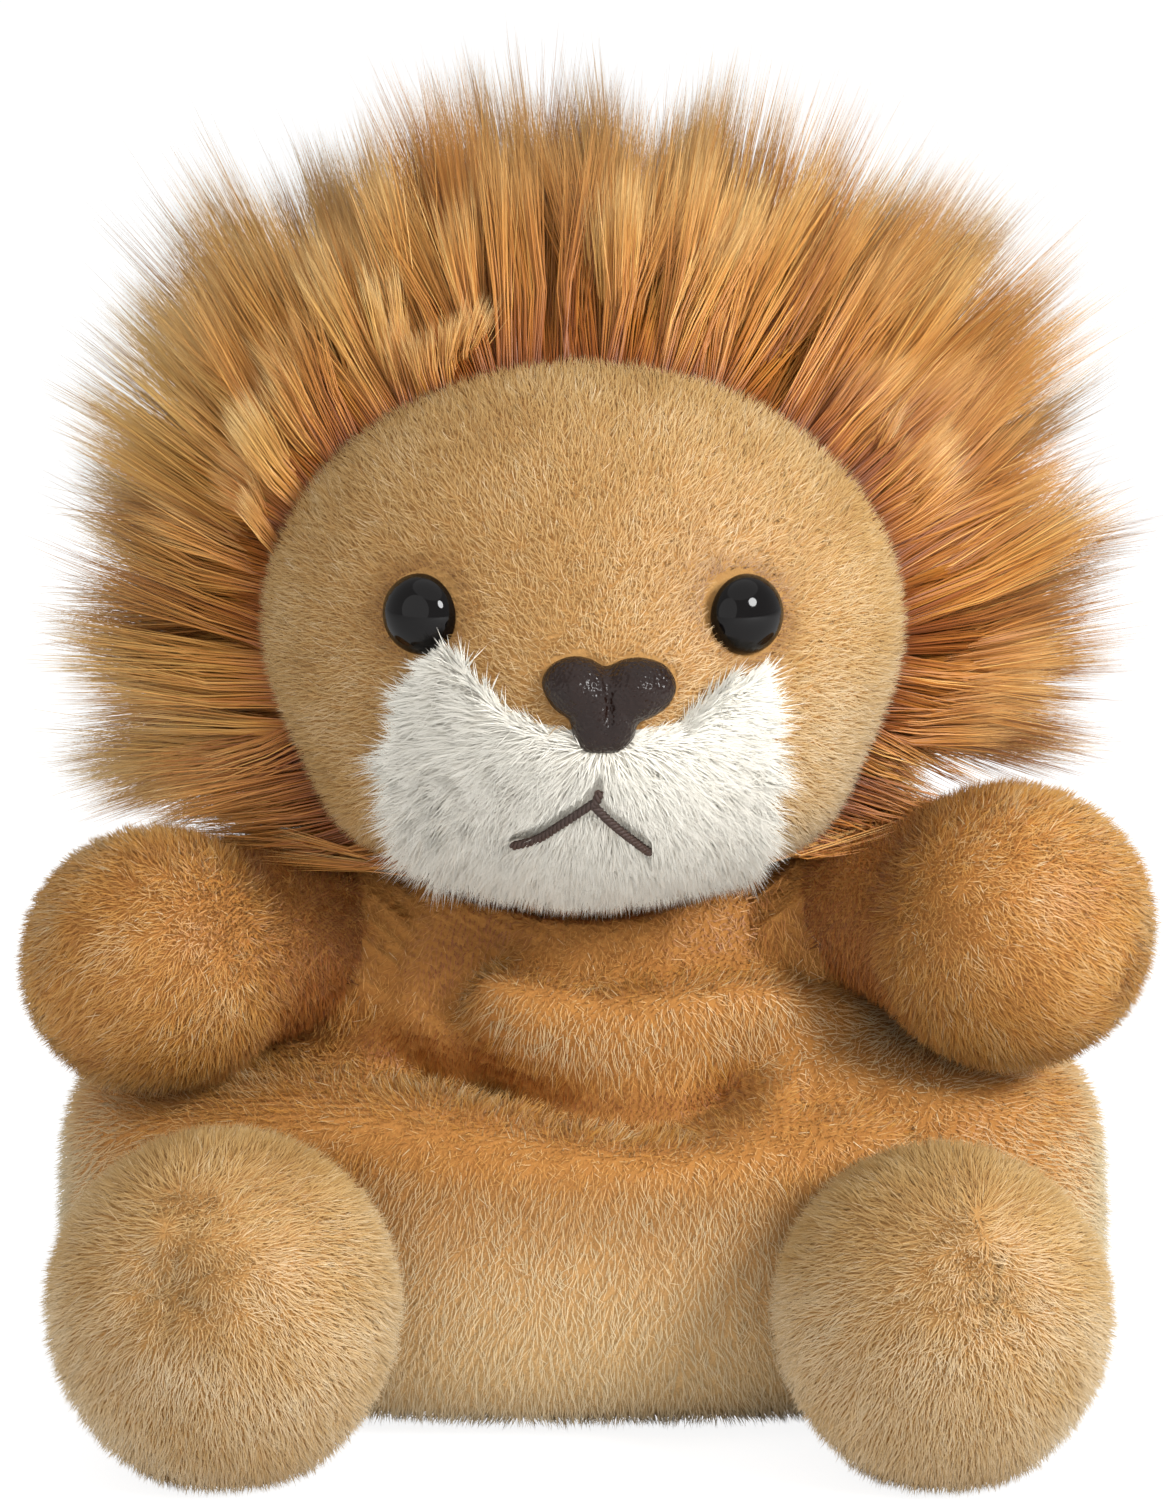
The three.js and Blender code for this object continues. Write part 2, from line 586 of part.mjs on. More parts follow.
const eyeProfile = [[0, 0], [EYE_RADIUS, 0]];
for (let step = 1; step <= EYE_STEPS; step += 1) {
  const turn = (step / EYE_STEPS) * (Math.PI / 2);
  eyeProfile.push([EYE_RADIUS * Math.cos(turn), EYE_DOME * Math.sin(turn) + CLEARANCE]);
}
eyeProfile[eyeProfile.length - 1][0] = 0;
const eyeDome = solidOf(turned(eyeProfile, SMALL_AROUND));
const eyes = eyePlaces.map((matrix) => moved(eyeDome, matrix).add(shank(matrix)));
const eyeSeat = (matrix) => disc(EYE_RADIUS + CLEARANCE, -CLEARANCE, OVERRUN, matrix);

// Nose outline in shares of its half width and half height: two lobes over a narrow rounded foot,
// as curves of two handles and an end, going round from the notch between the lobes
const noseNotchShare = 0.66;
const noseCurveShares = [
  [[0.3, 1.15], [1, 1.2], [1, 0.35]],
  [[1, -0.1], [0.5, -0.25], [0.28, -0.8]],
  [[0.2, -1.07], [-0.2, -1.07], [-0.28, -0.8]],
  [[-0.5, -0.25], [-1, -0.1], [-1, 0.35]],
  [[-1, 1.2], [-0.3, 1.15], [0, noseNotchShare]],
];

function noseOutline(growth) {
  const [w, h] = [NOSE_HALF_WIDTH - NOSE_ROUNDING + growth, NOSE_HALF_HEIGHT - NOSE_ROUNDING + growth];
  const outline = new THREE.Shape();
  outline.moveTo(0, noseNotchShare * h);
  for (const shares of noseCurveShares) {
    outline.bezierCurveTo(...shares.flatMap(([x, z]) => [x * w, z * h]));
  }
  return outline;
}

function noseSolid() {
  const geometry = new THREE.ExtrudeGeometry(noseOutline(0), {
    depth: NOSE_BODY - NOSE_ROUNDING,
    curveSegments: NOSE_CURVE_STEPS,
    bevelSegments: NOSE_BEVEL_STEPS,
    bevelSize: NOSE_ROUNDING,
    bevelThickness: NOSE_ROUNDING,
  });
  const body = solidOf(geometry.translate(0, 0, NOSE_ROUNDING));
  return moved(body, nosePlace).add(shank(nosePlace));
}

function noseSeat() {
  const settings = { depth: OVERRUN, curveSegments: NOSE_CURVE_STEPS, bevelEnabled: false };
  const room = new THREE.ExtrudeGeometry(noseOutline(NOSE_ROUNDING + 2 * CLEARANCE), settings);
  return moved(solidOf(room.translate(0, 0, -CLEARANCE)), nosePlace);
}

// Mouth: two slanting stitches from a short stub below the nose, half sunk in the pile. Their
// points are shares of the mouth's half width and drop, out from where the stitches meet.
const mouthShares = {
  right: [[-0.1, -0.12], [-0.45, -0.5], [-0.8, -0.82], [-1.2, -1]],
  left: [[0.1, -0.12], [0.3, -0.4], [0.55, -0.7], [0.8, -1]],
};
const grooveRadius = THREAD_RADIUS + CLEARANCE;
const stubTop = noseHeight - NOSE_HALF_HEIGHT - MOUTH_STUB_GAP;
const stubFoot = stubTop - MOUTH_STUB;
const mouthTop = stubFoot - 2 * grooveRadius;
const mouthLines = Object.entries(mouthShares).map(([name, shares]) => ({
  name,
  curve: new THREE.CatmullRomCurve3(shares.map(([x, z]) => (
    onHead(FACE_SHIFT + x * MOUTH_HALF_WIDTH, mouthTop + z * MOUTH_DROP)
  ))),
}));
mouthLines.push({
  name: 'stub',
  curve: new THREE.LineCurve3(onHead(FACE_SHIFT, stubFoot), onHead(FACE_SHIFT, stubTop)),
});
const mouthGroove = (curve) => {
  const ends = [0, 1].map((end) => ball(curve.getPoint(end), GROOVE_END_SHARE * grooveRadius, GROOVE_END));
  return joined([solidOf(cord(curve, grooveRadius, THREAD_SIDES, THREAD_STEPS)), ...ends]);
};
const grooves = mouthLines.map(({ curve }) => mouthGroove(curve));

// Head pieces
const seats = [...eyePlaces.map(eyeSeat), noseSeat(), ...[...eyePlaces, nosePlace].map(shankHole)];
const frontShell = headShell.subtract(hoodBlock(0)).subtract(neckSocket);
const facePanel = without(frontShell, [muzzlePrism(CLEARANCE), ...seats]);
const muzzlePanel = without(frontShell.intersect(muzzlePrism(0)), [...seats, ...grooves]);
const headRoomForHood = headForm(CLEARANCE, FORM).subtract(hoodBlock(CLEARANCE));
const maneHood = without(maneForm(0, FORM), [headRoomForHood, headHollow, neckSocket]);
const headFill = without(headForm(-COVER_WALL - CLEARANCE, CORE), [
  neckSocket,
  ...[...eyePlaces, nosePlace].flatMap((matrix) => [shankHole(matrix), washerRoom(matrix)]),
]);

// Tail: its round root touches the back at the wag axis, and the cord curls up to the tuft
function onBack(height) {
  const ray = vector(0, 1, 0);
  for (let pass = 0; pass < PASSES; pass += 1) {
    const lift = (height - bodyCentre.z) / bodyReach(ray);
    ray.set(0, Math.sqrt(1 - lift * lift), lift);
  }
  return bodyCentre.clone().addScaledVector(ray, bodyReach(ray));
}
const tailRoot = onBack(TAIL_ROOT_HEIGHT).add(vector(0, TAIL_RADIUS + CLEARANCE, 0));
const tailCurve = new THREE.CubicBezierCurve3(
  tailRoot,
  tailRoot.clone().add(vector(0, TAIL_REACH, 0)),
  tailRoot.clone().add(vector(0, TAIL_REACH, TAIL_BEND_SHARE * TAIL_RISE)),
  tailRoot.clone().add(vector(0, TAIL_REACH, TAIL_RISE)),
);
const tailCord = ball(tailRoot, TAIL_RADIUS, LIMB_CORE)
  .add(solidOf(cord(tailCurve, TAIL_RADIUS, TAIL_SIDES, TAIL_STEPS)));
const tuftCentre = tailCurve.getPoint(1).add(vector(0, 0, TUFT_HALF_LENGTH - TAIL_RADIUS));
const tuftRadii = vector(TUFT_RADIUS, TUFT_RADIUS, TUFT_HALF_LENGTH);
const tuftReach = (ray) => ellipsoidReach(ray, tuftCentre, tuftCentre, tuftRadii);
const tailRoom = solidOf(cord(tailCurve, TAIL_RADIUS + CLEARANCE, TAIL_SIDES, TAIL_STEPS))
  .add(ball(tailCurve.getPoint(1), TAIL_RADIUS + CLEARANCE, LIMB_CORE));
const tailTuft = radialSolid(tuftCentre, tuftReach, LIMB_CORE).subtract(tailRoom);

// Finishes
const finish = (color, roughness) => new THREE.MeshStandardMaterial({ color, roughness, metalness: 0 });
const tanPlush = finish('#bd8648', 0.9);
const palePlush = finish('#c89b62', 0.9);
const whitePlush = finish('#efeee4', 0.9);
const maneFur = finish('#b07a46', 0.85);
const fibre = finish('#f1efe8', 1);
const beads = finish('#dcd9cc', 0.7);
const eyePlastic = finish('#0b0a0a', 0.06);
const nosePlastic = finish('#33221b', 0.3);
const washerPlastic = finish('#e6e4dc', 0.5);
const brownThread = finish('#3a261b', 0.7);
const tanThread = finish('#a9824f', 0.8);

const lion = new THREE.Group();
function add(name, solid, material) {
  const mesh = new THREE.Mesh(geometryOf(solid), material);
  mesh.name = name;
  lion.add(mesh);
}

add('belly_panel', bellyPanel, tanPlush);
add('back_panel', backPanel, tanPlush);
add('pellet_pouch', pelletPouch, beads);
add('chest_fill', chestFill, fibre);
add('neck_gather', neckGather, tanPlush);
add('neck_thread', threadRing(0), tanThread);
add('face_panel', facePanel, palePlush);
add('muzzle_panel', muzzlePanel, whitePlush);
add('mane_hood', maneHood, maneFur);
add('head_fill', headFill, fibre);
['right', 'left'].forEach((name, index) => {
  add(`eye_${name}`, eyes[index], eyePlastic);
  add(`eye_washer_${name}`, washer(eyePlaces[index]), washerPlastic);
});
add('nose', noseSolid(), nosePlastic);
add('nose_washer', washer(nosePlace), washerPlastic);
mouthLines.forEach(({ name, curve }) => {
  add(`mouth_stitch_${name}`, solidOf(cord(curve, THREAD_RADIUS, THREAD_SIDES, THREAD_STEPS)), brownThread);
});
armPieces.forEach(({ name, cover, fill }) => {
  add(`arm_cover_${name}`, cover, tanPlush);
  add(`arm_fill_${name}`, fill, fibre);
});
legPieces.forEach(({ name, cover, fill }) => {
  add(`leg_cover_${name}`, cover, palePlush);
  add(`leg_fill_${name}`, fill, beads);
});
add('tail_cord', tailCord, tanPlush);
add('tail_tuft', tailTuft, maneFur);

export default lion;
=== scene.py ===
import bpy
import numpy as np
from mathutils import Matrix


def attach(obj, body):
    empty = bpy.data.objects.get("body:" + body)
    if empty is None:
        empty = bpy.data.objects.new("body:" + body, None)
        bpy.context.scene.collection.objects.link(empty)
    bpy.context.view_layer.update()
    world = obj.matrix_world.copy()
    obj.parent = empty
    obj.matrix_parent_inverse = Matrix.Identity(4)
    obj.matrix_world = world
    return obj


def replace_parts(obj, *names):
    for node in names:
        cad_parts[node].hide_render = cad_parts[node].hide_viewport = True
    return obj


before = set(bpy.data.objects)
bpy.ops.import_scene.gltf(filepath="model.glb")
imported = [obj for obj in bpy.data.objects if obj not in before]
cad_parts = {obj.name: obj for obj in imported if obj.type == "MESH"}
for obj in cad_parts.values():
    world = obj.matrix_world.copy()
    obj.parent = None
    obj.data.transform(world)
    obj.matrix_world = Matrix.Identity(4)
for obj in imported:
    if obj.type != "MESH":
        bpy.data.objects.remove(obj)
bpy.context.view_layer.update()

# Belly and back panels: a sack of short golden plush, flat under the beads, with a chest on top and
# slack folds across the front. Each panel is knitted backing with a cut pile, and the two are sewn
# together along the flanks, so each is one sheet of cloth here, with its pile as a piece of its own.
MM = 0.001  # sizes are in millimetres, as on the pattern
SACK_HALF_WIDTH, SACK_HALF_DEPTH, SACK_HEIGHT = 48, 26.5, 35
SACK_SET_BACK, FRONT_DROP_SHARE, PLAN_POWER, SIDE_POWER = 2, 0.2, 2.4, 4
CHEST_CENTRE, CHEST_RADII = np.array([0, 3, 30]), np.array([30, 17.5, 28])
FLAT_DEPTH, BLEND_POWER, SEAM_SET_BACK = 0.5, 14, 6
BODY_CENTRE = np.array([0, SACK_SET_BACK, (SACK_HEIGHT - FLAT_DEPTH) / 2])
HEAD_CENTRE, HEAD_RADII = np.array([0, -9, 72]), np.array([28.7, 21, 23.5])
HEAD_ROOM = 3.5  # the chest dips this far clear of the head
SHOULDER_BALL, HIP_BALL = 9, 13.5
SHOULDERS = {"right": np.array([-23, -3, 43.6]), "left": np.array([23, -3, 46.8])}
HIPS = {"right": np.array([-31.1, -10, 15.3]), "left": np.array([31.1, -10, 14.6])}
PILE_DEPTH = 1.3  # from the backing to the top of the lying pile
BACKING = 0.7  # thickness of the knitted backing
FLOOR_GAP = 0.12
UP, FRONT = np.array([0, 0, 1]), np.array([0, -1, 0])
CLEAR_OF_TABLE = 0.6  # no pile is rooted lower than this
PILE_SOFTNESS = 0.9  # how far a fibre is shaded like the cloth under it
PILE_LENGTH, SWIRL, CLUMP, PATCH = 1.6, 9, 2.6, 7  # a fibre, and the ripples that part the pile
SWIRL_PULL, TONE_SPREAD = 0.3, 0.08
# Painted glints: a few paler fibres stand in for the sparkle of light on the pile
PAINTED_GLINT_SHARE, PAINTED_GLINT_TONE = 0.04, 0.35  # of the fibres, and how much paler they are
# Folds run along lines in the front view, rise or sink by a height, and fade over a spread
FOLDS = [
    ([(-46, 32), (-34, 33), (-19, 34.2)], -1.8, 2.4),
    ([(-17, 34), (-9, 32.8), (-2, 30.7), (5, 29.6), (10, 29.7), (14, 31.5)], -4.2, 2),
    ([(-44, 27.5), (-20, 29), (-4, 26.2), (8, 25.5), (18, 26), (30, 26.5)], 1.6, 4),
    ([(-8, 37.2), (1, 35.2), (15, 36.2), (27, 34.7), (38, 32.2)], 4.8, 4.2),
    ([(-8, 46), (-12, 40), (-10, 34.5)], -3.4, 2.6),
    ([(20, 30.7), (25.5, 30.5), (30, 28)], -1.6, 1.3),
]


def unit(vectors):
    """Vectors divided by their lengths."""
    return vectors / np.maximum(np.linalg.norm(vectors, axis=-1, keepdims=True), 1e-9)


def bell(distance, spread):
    """1 at no distance, fading as exp(-(distance / spread)^2)."""
    return np.exp(-((distance / spread) ** 2))


def ramp(value, start, end):
    """0 up to the start, 1 from the end, and straight between."""
    return np.clip((value - start) / (end - start), 0, 1)


def crossings(ray, start, centre, radii):
    """Where rays enter and leave an ellipsoid: the two roots of the quadratic that the ray gives
    in the space where the ellipsoid is a unit ball, or nan where it misses."""
    along = ray / radii
    offset = (start - centre) / radii
    a = np.sum(along * along, -1)
    b = np.sum(along * offset, -1)
    gap = b * b - a * (np.sum(offset * offset, -1) - 1)
    spread = np.sqrt(np.where(gap > 0, gap, np.nan))
    return (-b - spread) / a, (-b + spread) / a


def joined(reaches):
    """The largest of several reaches with their joins rounded: the root of the sum of their powers."""
    powers = [np.maximum(0, np.nan_to_num(reach)) ** BLEND_POWER for reach in reaches]
    return np.sum(powers, axis=0) ** (1 / BLEND_POWER)


def fold_rise(x, z):
    """Each fold adds its height times the bell of the distance to its line."""
    rise = np.zeros_like(x)
    for line, height, spread in FOLDS:
        gap = np.full_like(x, np.inf)
        for (x0, z0), (x1, z1) in zip(line, line[1:]):
            run = (x1 - x0) ** 2 + (z1 - z0) ** 2
            share = np.clip(((x - x0) * (x1 - x0) + (z - z0) * (z1 - z0)) / run, 0, 1)
            gap = np.minimum(gap, np.hypot(x - x0 - share * (x1 - x0), z - z0 - share * (z1 - z0)))
        rise += height * bell(gap, spread)
    return rise


def body_reach(ray):
    """Distance from the body's centre to its backing: a squared oval sack, an egg-shaped chest and
    the balls of the shoulders and hips, joined, plus the folds, less the pile, and kept off the
    head."""
    drop = 1 - FRONT_DROP_SHARE * np.maximum(0, -ray[..., 1]) * (ray[..., 2] > 0)
    across, deep = abs(ray[..., 0]) / SACK_HALF_WIDTH, abs(ray[..., 1]) / SACK_HALF_DEPTH
    plan = across ** PLAN_POWER + deep ** PLAN_POWER
    height = abs(ray[..., 2]) / ((SACK_HEIGHT + FLAT_DEPTH) / 2 * drop)
    sack = (plan ** (SIDE_POWER / PLAN_POWER) + height ** SIDE_POWER) ** (-1 / SIDE_POWER)
    forms = [sack, crossings(ray, BODY_CENTRE, CHEST_CENTRE, CHEST_RADII)[1]]
    for side in SHOULDERS:
        forms.append(crossings(ray, BODY_CENTRE, SHOULDERS[side], np.full(3, SHOULDER_BALL - 1))[1])
        forms.append(crossings(ray, BODY_CENTRE, HIPS[side], np.full(3, HIP_BALL - 1))[1])
    reach = joined(forms)
    place = BODY_CENTRE + ray * reach[..., None]
    front = np.clip(-2 * ray[..., 1], 0, 1)
    reach = reach + front * fold_rise(place[..., 0], place[..., 2])
    reach = reach - PILE_DEPTH * (1 - np.maximum(0, -ray[..., 2]) ** 4)
    head = crossings(ray, BODY_CENTRE, HEAD_CENTRE, HEAD_RADII + HEAD_ROOM)[0]
    return np.where(head > 0, np.fmin(reach, head), reach)


def body_depth(points):
    """How deep points lie inside the body's backing, along the rays from its centre."""
    offset = points - BODY_CENTRE
    return body_reach(unit(offset)) - np.linalg.norm(offset, axis=-1)


def halved(high, beyond, steps):
    """How far towards high one gets before beyond() turns true, found by halving."""
    low = np.zeros_like(high)
    for _ in range(steps):
        middle = (low + high) / 2
        past = beyond(middle)
        low, high = np.where(past, low, middle), np.where(past, middle, high)
    return low


def dome(centre, reach, pole, around, rings, stop=None):
    """A grid of points round a pole: turns down the columns, and angles from the pole across the
    rows, up to the far pole or to where the stop function, which grows along each row, crosses
    zero."""
    turn = np.linspace(0, 2 * np.pi, around + 1)[:, None]
    side = unit(np.cross(pole, UP if abs(pole[2]) < 0.9 else -FRONT))
    up = np.cross(pole, side)

    def place(angle):
        sideways = np.cos(turn)[..., None] * side + np.sin(turn)[..., None] * up
        ray = np.cos(angle)[..., None] * pole + np.sin(angle)[..., None] * sideways
        return centre + ray * reach(ray)[..., None]

    last = np.full_like(turn, np.pi)
    if stop is not None:
        last = halved(last, lambda angle: stop(place(angle)) > 0, 30)
    points = place(last * np.linspace(0, 1, rings + 1))
    points[..., 2] = np.maximum(points[..., 2], FLOOR_GAP)
    return points


def mesh_of(name, points, faces, material, corner_uv, normals=None):
    """A mesh object from points in millimetres, a list of arrays of faces with like corner counts,
    the place of each face corner in the picture plane, and the shading normals where they are set."""
    mesh = bpy.data.meshes.new(name)
    mesh.vertices.add(len(points))
    mesh.vertices.foreach_set("co", (points * MM).astype(np.float32).ravel())
    corners = np.concatenate([part.ravel() for part in faces])
    counts = np.concatenate([np.full(len(part), part.shape[1]) for part in faces])
    mesh.loops.add(len(corners))
    mesh.loops.foreach_set("vertex_index", corners.astype(np.int32))
    starts = np.concatenate([[0], np.cumsum(counts)[:-1]])
    mesh.polygons.add(len(counts))
    mesh.polygons.foreach_set("loop_start", starts.astype(np.int32))
    mesh.polygons.foreach_set("use_smooth", np.full(len(counts), True))
    mesh.uv_layers.new(name="OFBake").data.foreach_set("uv", corner_uv.astype(np.float32).ravel())
    mesh.materials.append(material)
    mesh.update(calc_edges=True)
    if normals is not None:
        mesh.normals_split_custom_set_from_vertices(normals.astype(np.float32))
    piece = bpy.data.objects.new(name, mesh)
    bpy.context.scene.collection.objects.link(piece)
    return piece


def skin(name, grid, material, closed=False, thickness=0):
    """A sheet over a grid whose columns close round a pole, and whose last row is its rim or, when
    closed, its far pole. Rows meet the poles in triangles, and a thickness makes it a wall."""
    around, rings = grid.shape[0] - 1, grid.shape[1] - 1
    rows = rings - 1 if closed else rings
    parts = [grid[:1, 0], grid[:-1, 1:rows + 1].reshape(-1, 3), grid[:1, -1]]
    points = np.concatenate(parts[:3 if closed else 2])
    column, row = np.meshgrid(np.arange(around), np.arange(1, rows), indexing="ij")
    beside = (column + 1) % around

    def index(c, r):
        return 1 + c * rows + r - 1

    quads = [index(column, row), index(column, row + 1), index(beside, row + 1), index(beside, row)]
    quads = np.stack(quads, -1)
    first = np.arange(around)
    after = (first + 1) % around
    caps = [np.stack([0 * first, index(first, 1), index(after, 1)], -1)]
    quad_uv = np.stack([column, row, column, row + 1, column + 1, row + 1, column + 1, row], -1)
    cap_uv = [np.stack([first + 0.5, 0 * first, first, 0 * first + 1, first + 1, 0 * first + 1], -1)]
    if closed:
        far = 0 * first + len(points) - 1
        caps.append(np.stack([far, index(after, rows), index(first, rows)], -1))
        last = 0 * first + rows
        cap_uv.append(np.stack([first + 0.5, last + 1, first + 1, last, first, last], -1))
    faces = [quads.reshape(-1, 4), *caps]
    uv = np.concatenate([part.reshape(-1, 2) for part in (quad_uv, *cap_uv)]) / (around, rings)
    piece = mesh_of(name, points, faces, material, uv)
    if thickness:
        wall = piece.modifiers.new("wall", "SOLIDIFY")
        wall.thickness = thickness * MM
        wall.offset = -1
    return piece


R2_STEPS = 0.7548776662, 0.5698402910


def scatter(grid, count):
    """Roots spread evenly over a grid by area. The steps of the R2 sequence pick a column by the
    areas of the columns and then a cell by the areas in it. Gives the points and their normals."""
    across, down = np.diff(grid, axis=0)[:, :-1], np.diff(grid, axis=1)[:-1]
    normal = np.cross(down, across)
    area = np.linalg.norm(normal, axis=-1) + 1e-12
    first, second = (step * np.arange(1, count + 1) % 1 for step in R2_STEPS)
    columns = np.concatenate([[0], np.cumsum(area.sum(1))]) / area.sum()
    column = np.clip(np.searchsorted(columns, first) - 1, 0, area.shape[0] - 1)
    share_across = (first - columns[column]) / np.diff(columns)[column]
    cells = np.concatenate([np.zeros((len(area), 1)), np.cumsum(area, 1)], 1)
    cells /= cells[:, -1:]
    keys = (cells + np.arange(len(area))[:, None]).ravel()
    row = np.searchsorted(keys, second + column) - 1 - column * cells.shape[1]
    row = np.clip(row, 0, area.shape[1] - 1)
    share_down = np.clip((second - cells[column, row]) / np.diff(cells, axis=1)[column, row], 0, 1)
    a, b = share_across[:, None], share_down[:, None]
    top = grid[column, row] * (1 - a) + grid[column + 1, row] * a
    foot = grid[column, row + 1] * (1 - a) + grid[column + 1, row + 1] * a
    return top * (1 - b) + foot * b, unit(normal)[column, row]


def ripples(points, size, seed):
    """Smooth noise of a given wavelength, about -1 to 1, and its slope: the sum of sine waves that
    run in random directions."""
    random = np.random.default_rng(seed)
    waves = unit(random.normal(size=(20, 3))) * 2 * np.pi / (size * random.uniform(0.7, 1.5, (20, 1)))
    phase = points @ waves.T + random.uniform(0, 2 * np.pi, 20)
    return np.sin(phase).sum(1) / 5, np.cos(phase) @ waves / 5


STRIPE = 0.006  # half a fibre's width in the picture plane, whose width is 1


def spikes(name, lines, width, tone, material, facing, softness, taper=2):
    """Closed three-sided fibres along centre lines of shape (fibres, stations, 3): a triangle of
    radius width * (1 - t^taper) at every station t but the last, and a point at the end. In the
    picture plane a fibre is a narrow upright stripe at its tone, from its root to its tip. It is
    shaded as much as softness says like the surface it stands on, which looks the way of facing."""
    count, stations = lines.shape[:2]
    rings = stations - 1
    ahead = unit(np.diff(lines, axis=1))
    reference = unit(np.random.default_rng(1).normal(size=(count, 1, 3)))
    side = unit(np.cross(ahead, reference))
    up = np.cross(ahead, side)
    along = np.linspace(0, 1, stations)
    radius = width * (1 - along[:-1] ** taper)[:, None, None]
    turn = np.arange(3) * 2 * np.pi / 3
    around = np.cos(turn)[:, None] * side[:, :, None] + np.sin(turn)[:, None] * up[:, :, None]
    ring_points = (lines[:, :-1, None] + radius * around).reshape(count, rings * 3, 3)
    points = np.concatenate([ring_points, lines[:, -1:]], 1)
    round_normals = np.concatenate([around.reshape(count, rings * 3, 3), ahead[:, -1:]], 1)
    normals = unit(softness * facing[:, None] + (1 - softness) * round_normals)
    faces = [(0, 2, 1)]
    for ring in range(rings - 1):
        for k in range(3):
            a, b = ring * 3 + k, ring * 3 + (k + 1) % 3
            faces += [(a, b, b + 3), (a, b + 3, a + 3)]
    faces += [(rings * 3 - 3 + k, rings * 3 - 3 + (k + 1) % 3, rings * 3) for k in range(3)]
    pattern = np.array(faces)
    corners = (pattern[None] + np.arange(count)[:, None, None] * (rings * 3 + 1)).reshape(-1, 3)
    stripe = np.append(np.tile((-STRIPE, 0, STRIPE), rings), 0)
    place_u = np.clip(tone, 0.01, 0.99)[:, None] + stripe
    place_v = np.append(np.repeat(along[:-1], 3), 1) + 0 * place_u
    uv = np.stack([place_u, place_v], -1)[:, pattern].reshape(-1, 2)
    return mesh_of(name, points.reshape(-1, 3), [corners], material, uv, normals.reshape(-1, 3))


def pile(name, grid, count, nap, length, material, width=0.065, lift=0.6, wild=0.16, clump=0.25, seed=0,
         keep=None, shade=None, reshape=None):
    """Cut pile on a grid of backing. A fibre leaves its root between the nap, a direction laid flat
    on the cloth, and the surface normal, by the share lift or lift(root, normal), strays by wild, and
    leans into clumps down the slope of a fine ripple. Its tone follows chance, with a few pale
    flecks that are painted glints, a broad ripple, and the shade function, which paints light and
    shade into the tone."""
    random = np.random.default_rng(seed)
    root, normal = scatter(grid, count)
    chosen = root[:, 2] > CLEAR_OF_TABLE
    if keep is not None:
        chosen &= keep(root, normal)
    root, normal = root[chosen], normal[chosen]
    if callable(lift):
        lift = lift(root, normal)[:, None]
    flow = nap(root, normal) + SWIRL_PULL * ripples(root, SWIRL, seed + 1)[1] * SWIRL / (2 * np.pi)
    flow = unit(flow - np.sum(flow * normal, -1, keepdims=True) * normal)
    size = length * random.uniform(0.7, 1.15, (len(root), 1))
    lean = flow * (1 - lift) + normal * lift
    stray = wild * random.normal(size=root.shape)
    pull = ripples(root, CLUMP, seed + 2)[1] * CLUMP / (2 * np.pi)
    lines = np.stack([root, root + size * unit(lean + stray - clump * pull)], 1)
    if reshape is not None:
        lines = reshape(lines)
    lines[..., 2] = np.maximum(lines[..., 2], FLOOR_GAP)
    tone = 0.5 + TONE_SPREAD * random.normal(size=len(root))
    tone = tone + TONE_SPREAD * ripples(root, PATCH, seed + 3)[0]
    # a few fibres painted paler, as glints
    tone = tone + PAINTED_GLINT_TONE * (random.random(len(root)) < PAINTED_GLINT_SHARE)
    # painted light and shade from the shade function
    if shade is not None:
        tone = tone + shade(root, normal)
    return spikes(name, lines, width, tone, material, normal, PILE_SOFTNESS)


class Wire:
    """A shader socket. Arithmetic on it adds Math nodes."""

    def __init__(self, finish, socket):
        self.finish, self.socket = finish, socket

    def maths(self, operation, *values):
        """A Math node's result."""
        return self.finish.node("ShaderNodeMath", {"operation": operation}, dict(enumerate(values)))

    def __add__(self, other):
        return self.maths("ADD", self, other)

    def __sub__(self, other):
        return self.maths("SUBTRACT", self, other)

    def __rsub__(self, other):
        return self.maths("SUBTRACT", other, self)

    def __mul__(self, other):
        return self.maths("MULTIPLY", self, other)


class Finish:
    """A material. The constants are set on its shader, and node() adds whatever varies."""

    def __init__(self, name, **constants):
        self.material = bpy.data.materials.new(name)
        self.material.use_nodes = True
        self.tree = self.material.node_tree
        self.shader = self.tree.nodes["Principled BSDF"]
        for socket, value in constants.items():
            self.shader.inputs[socket.replace("_", " ")].default_value = value

    def node(self, kind, settings, sockets, output=0):
        """Adds a node. A ramp's stops are given as settings["stops"], pairs of place and colour."""
        made = self.tree.nodes.new(kind)
        for key, value in settings.items():
            if key == "stops":
                elements = made.color_ramp.elements
                while len(elements) < len(value):
                    elements.new(0.5)
                for element, (place, colour) in zip(elements, value):
                    element.position = place
                    element.color = colour
            else:
                setattr(made, key, value)
        for socket, value in sockets.items():
            self.plug(made.inputs[socket], value)
        return Wire(self, made.outputs[output])

    def plug(self, socket, value):
        """Links a wire to a socket, or sets the socket's value."""
        if isinstance(value, Wire):
            self.tree.links.new(value.socket, socket)
        else:
            socket.default_value = value

    def surface(self, **sockets):
        """Links or sets the shader's sockets, whose names have _ for a space."""
        for socket, value in sockets.items():
            self.plug(self.shader.inputs[socket.replace("_", " ")], value)
        return self.material

    def mix(self, share, first, second):
        """A colour a share of the way from the first to the second."""
        colours = {0: share, 6: first, 7: second}
        return self.node("ShaderNodeMix", {"data_type": "RGBA"}, colours, output=2)

    def place(self):
        """Object coordinates, in metres."""
        return self.node("ShaderNodeTexCoord", {}, {}, output=3)

    def part(self, place, axis):
        """One of a place's three numbers."""
        return self.node("ShaderNodeSeparateXYZ", {}, {0: place}, output=axis)

    def noise(self, scale, detail=2):
        """Noise over the object, 0 to 1."""
        sockets = {"Vector": self.place(), "Scale": scale, "Detail": detail}
        return self.node("ShaderNodeTexNoise", {}, sockets)

    def bump(self, height, distance):
        """Normals bent as by a relief of the height times the distance in metres."""
        return self.node("ShaderNodeBump", {}, {"Height": height, "Distance": distance})


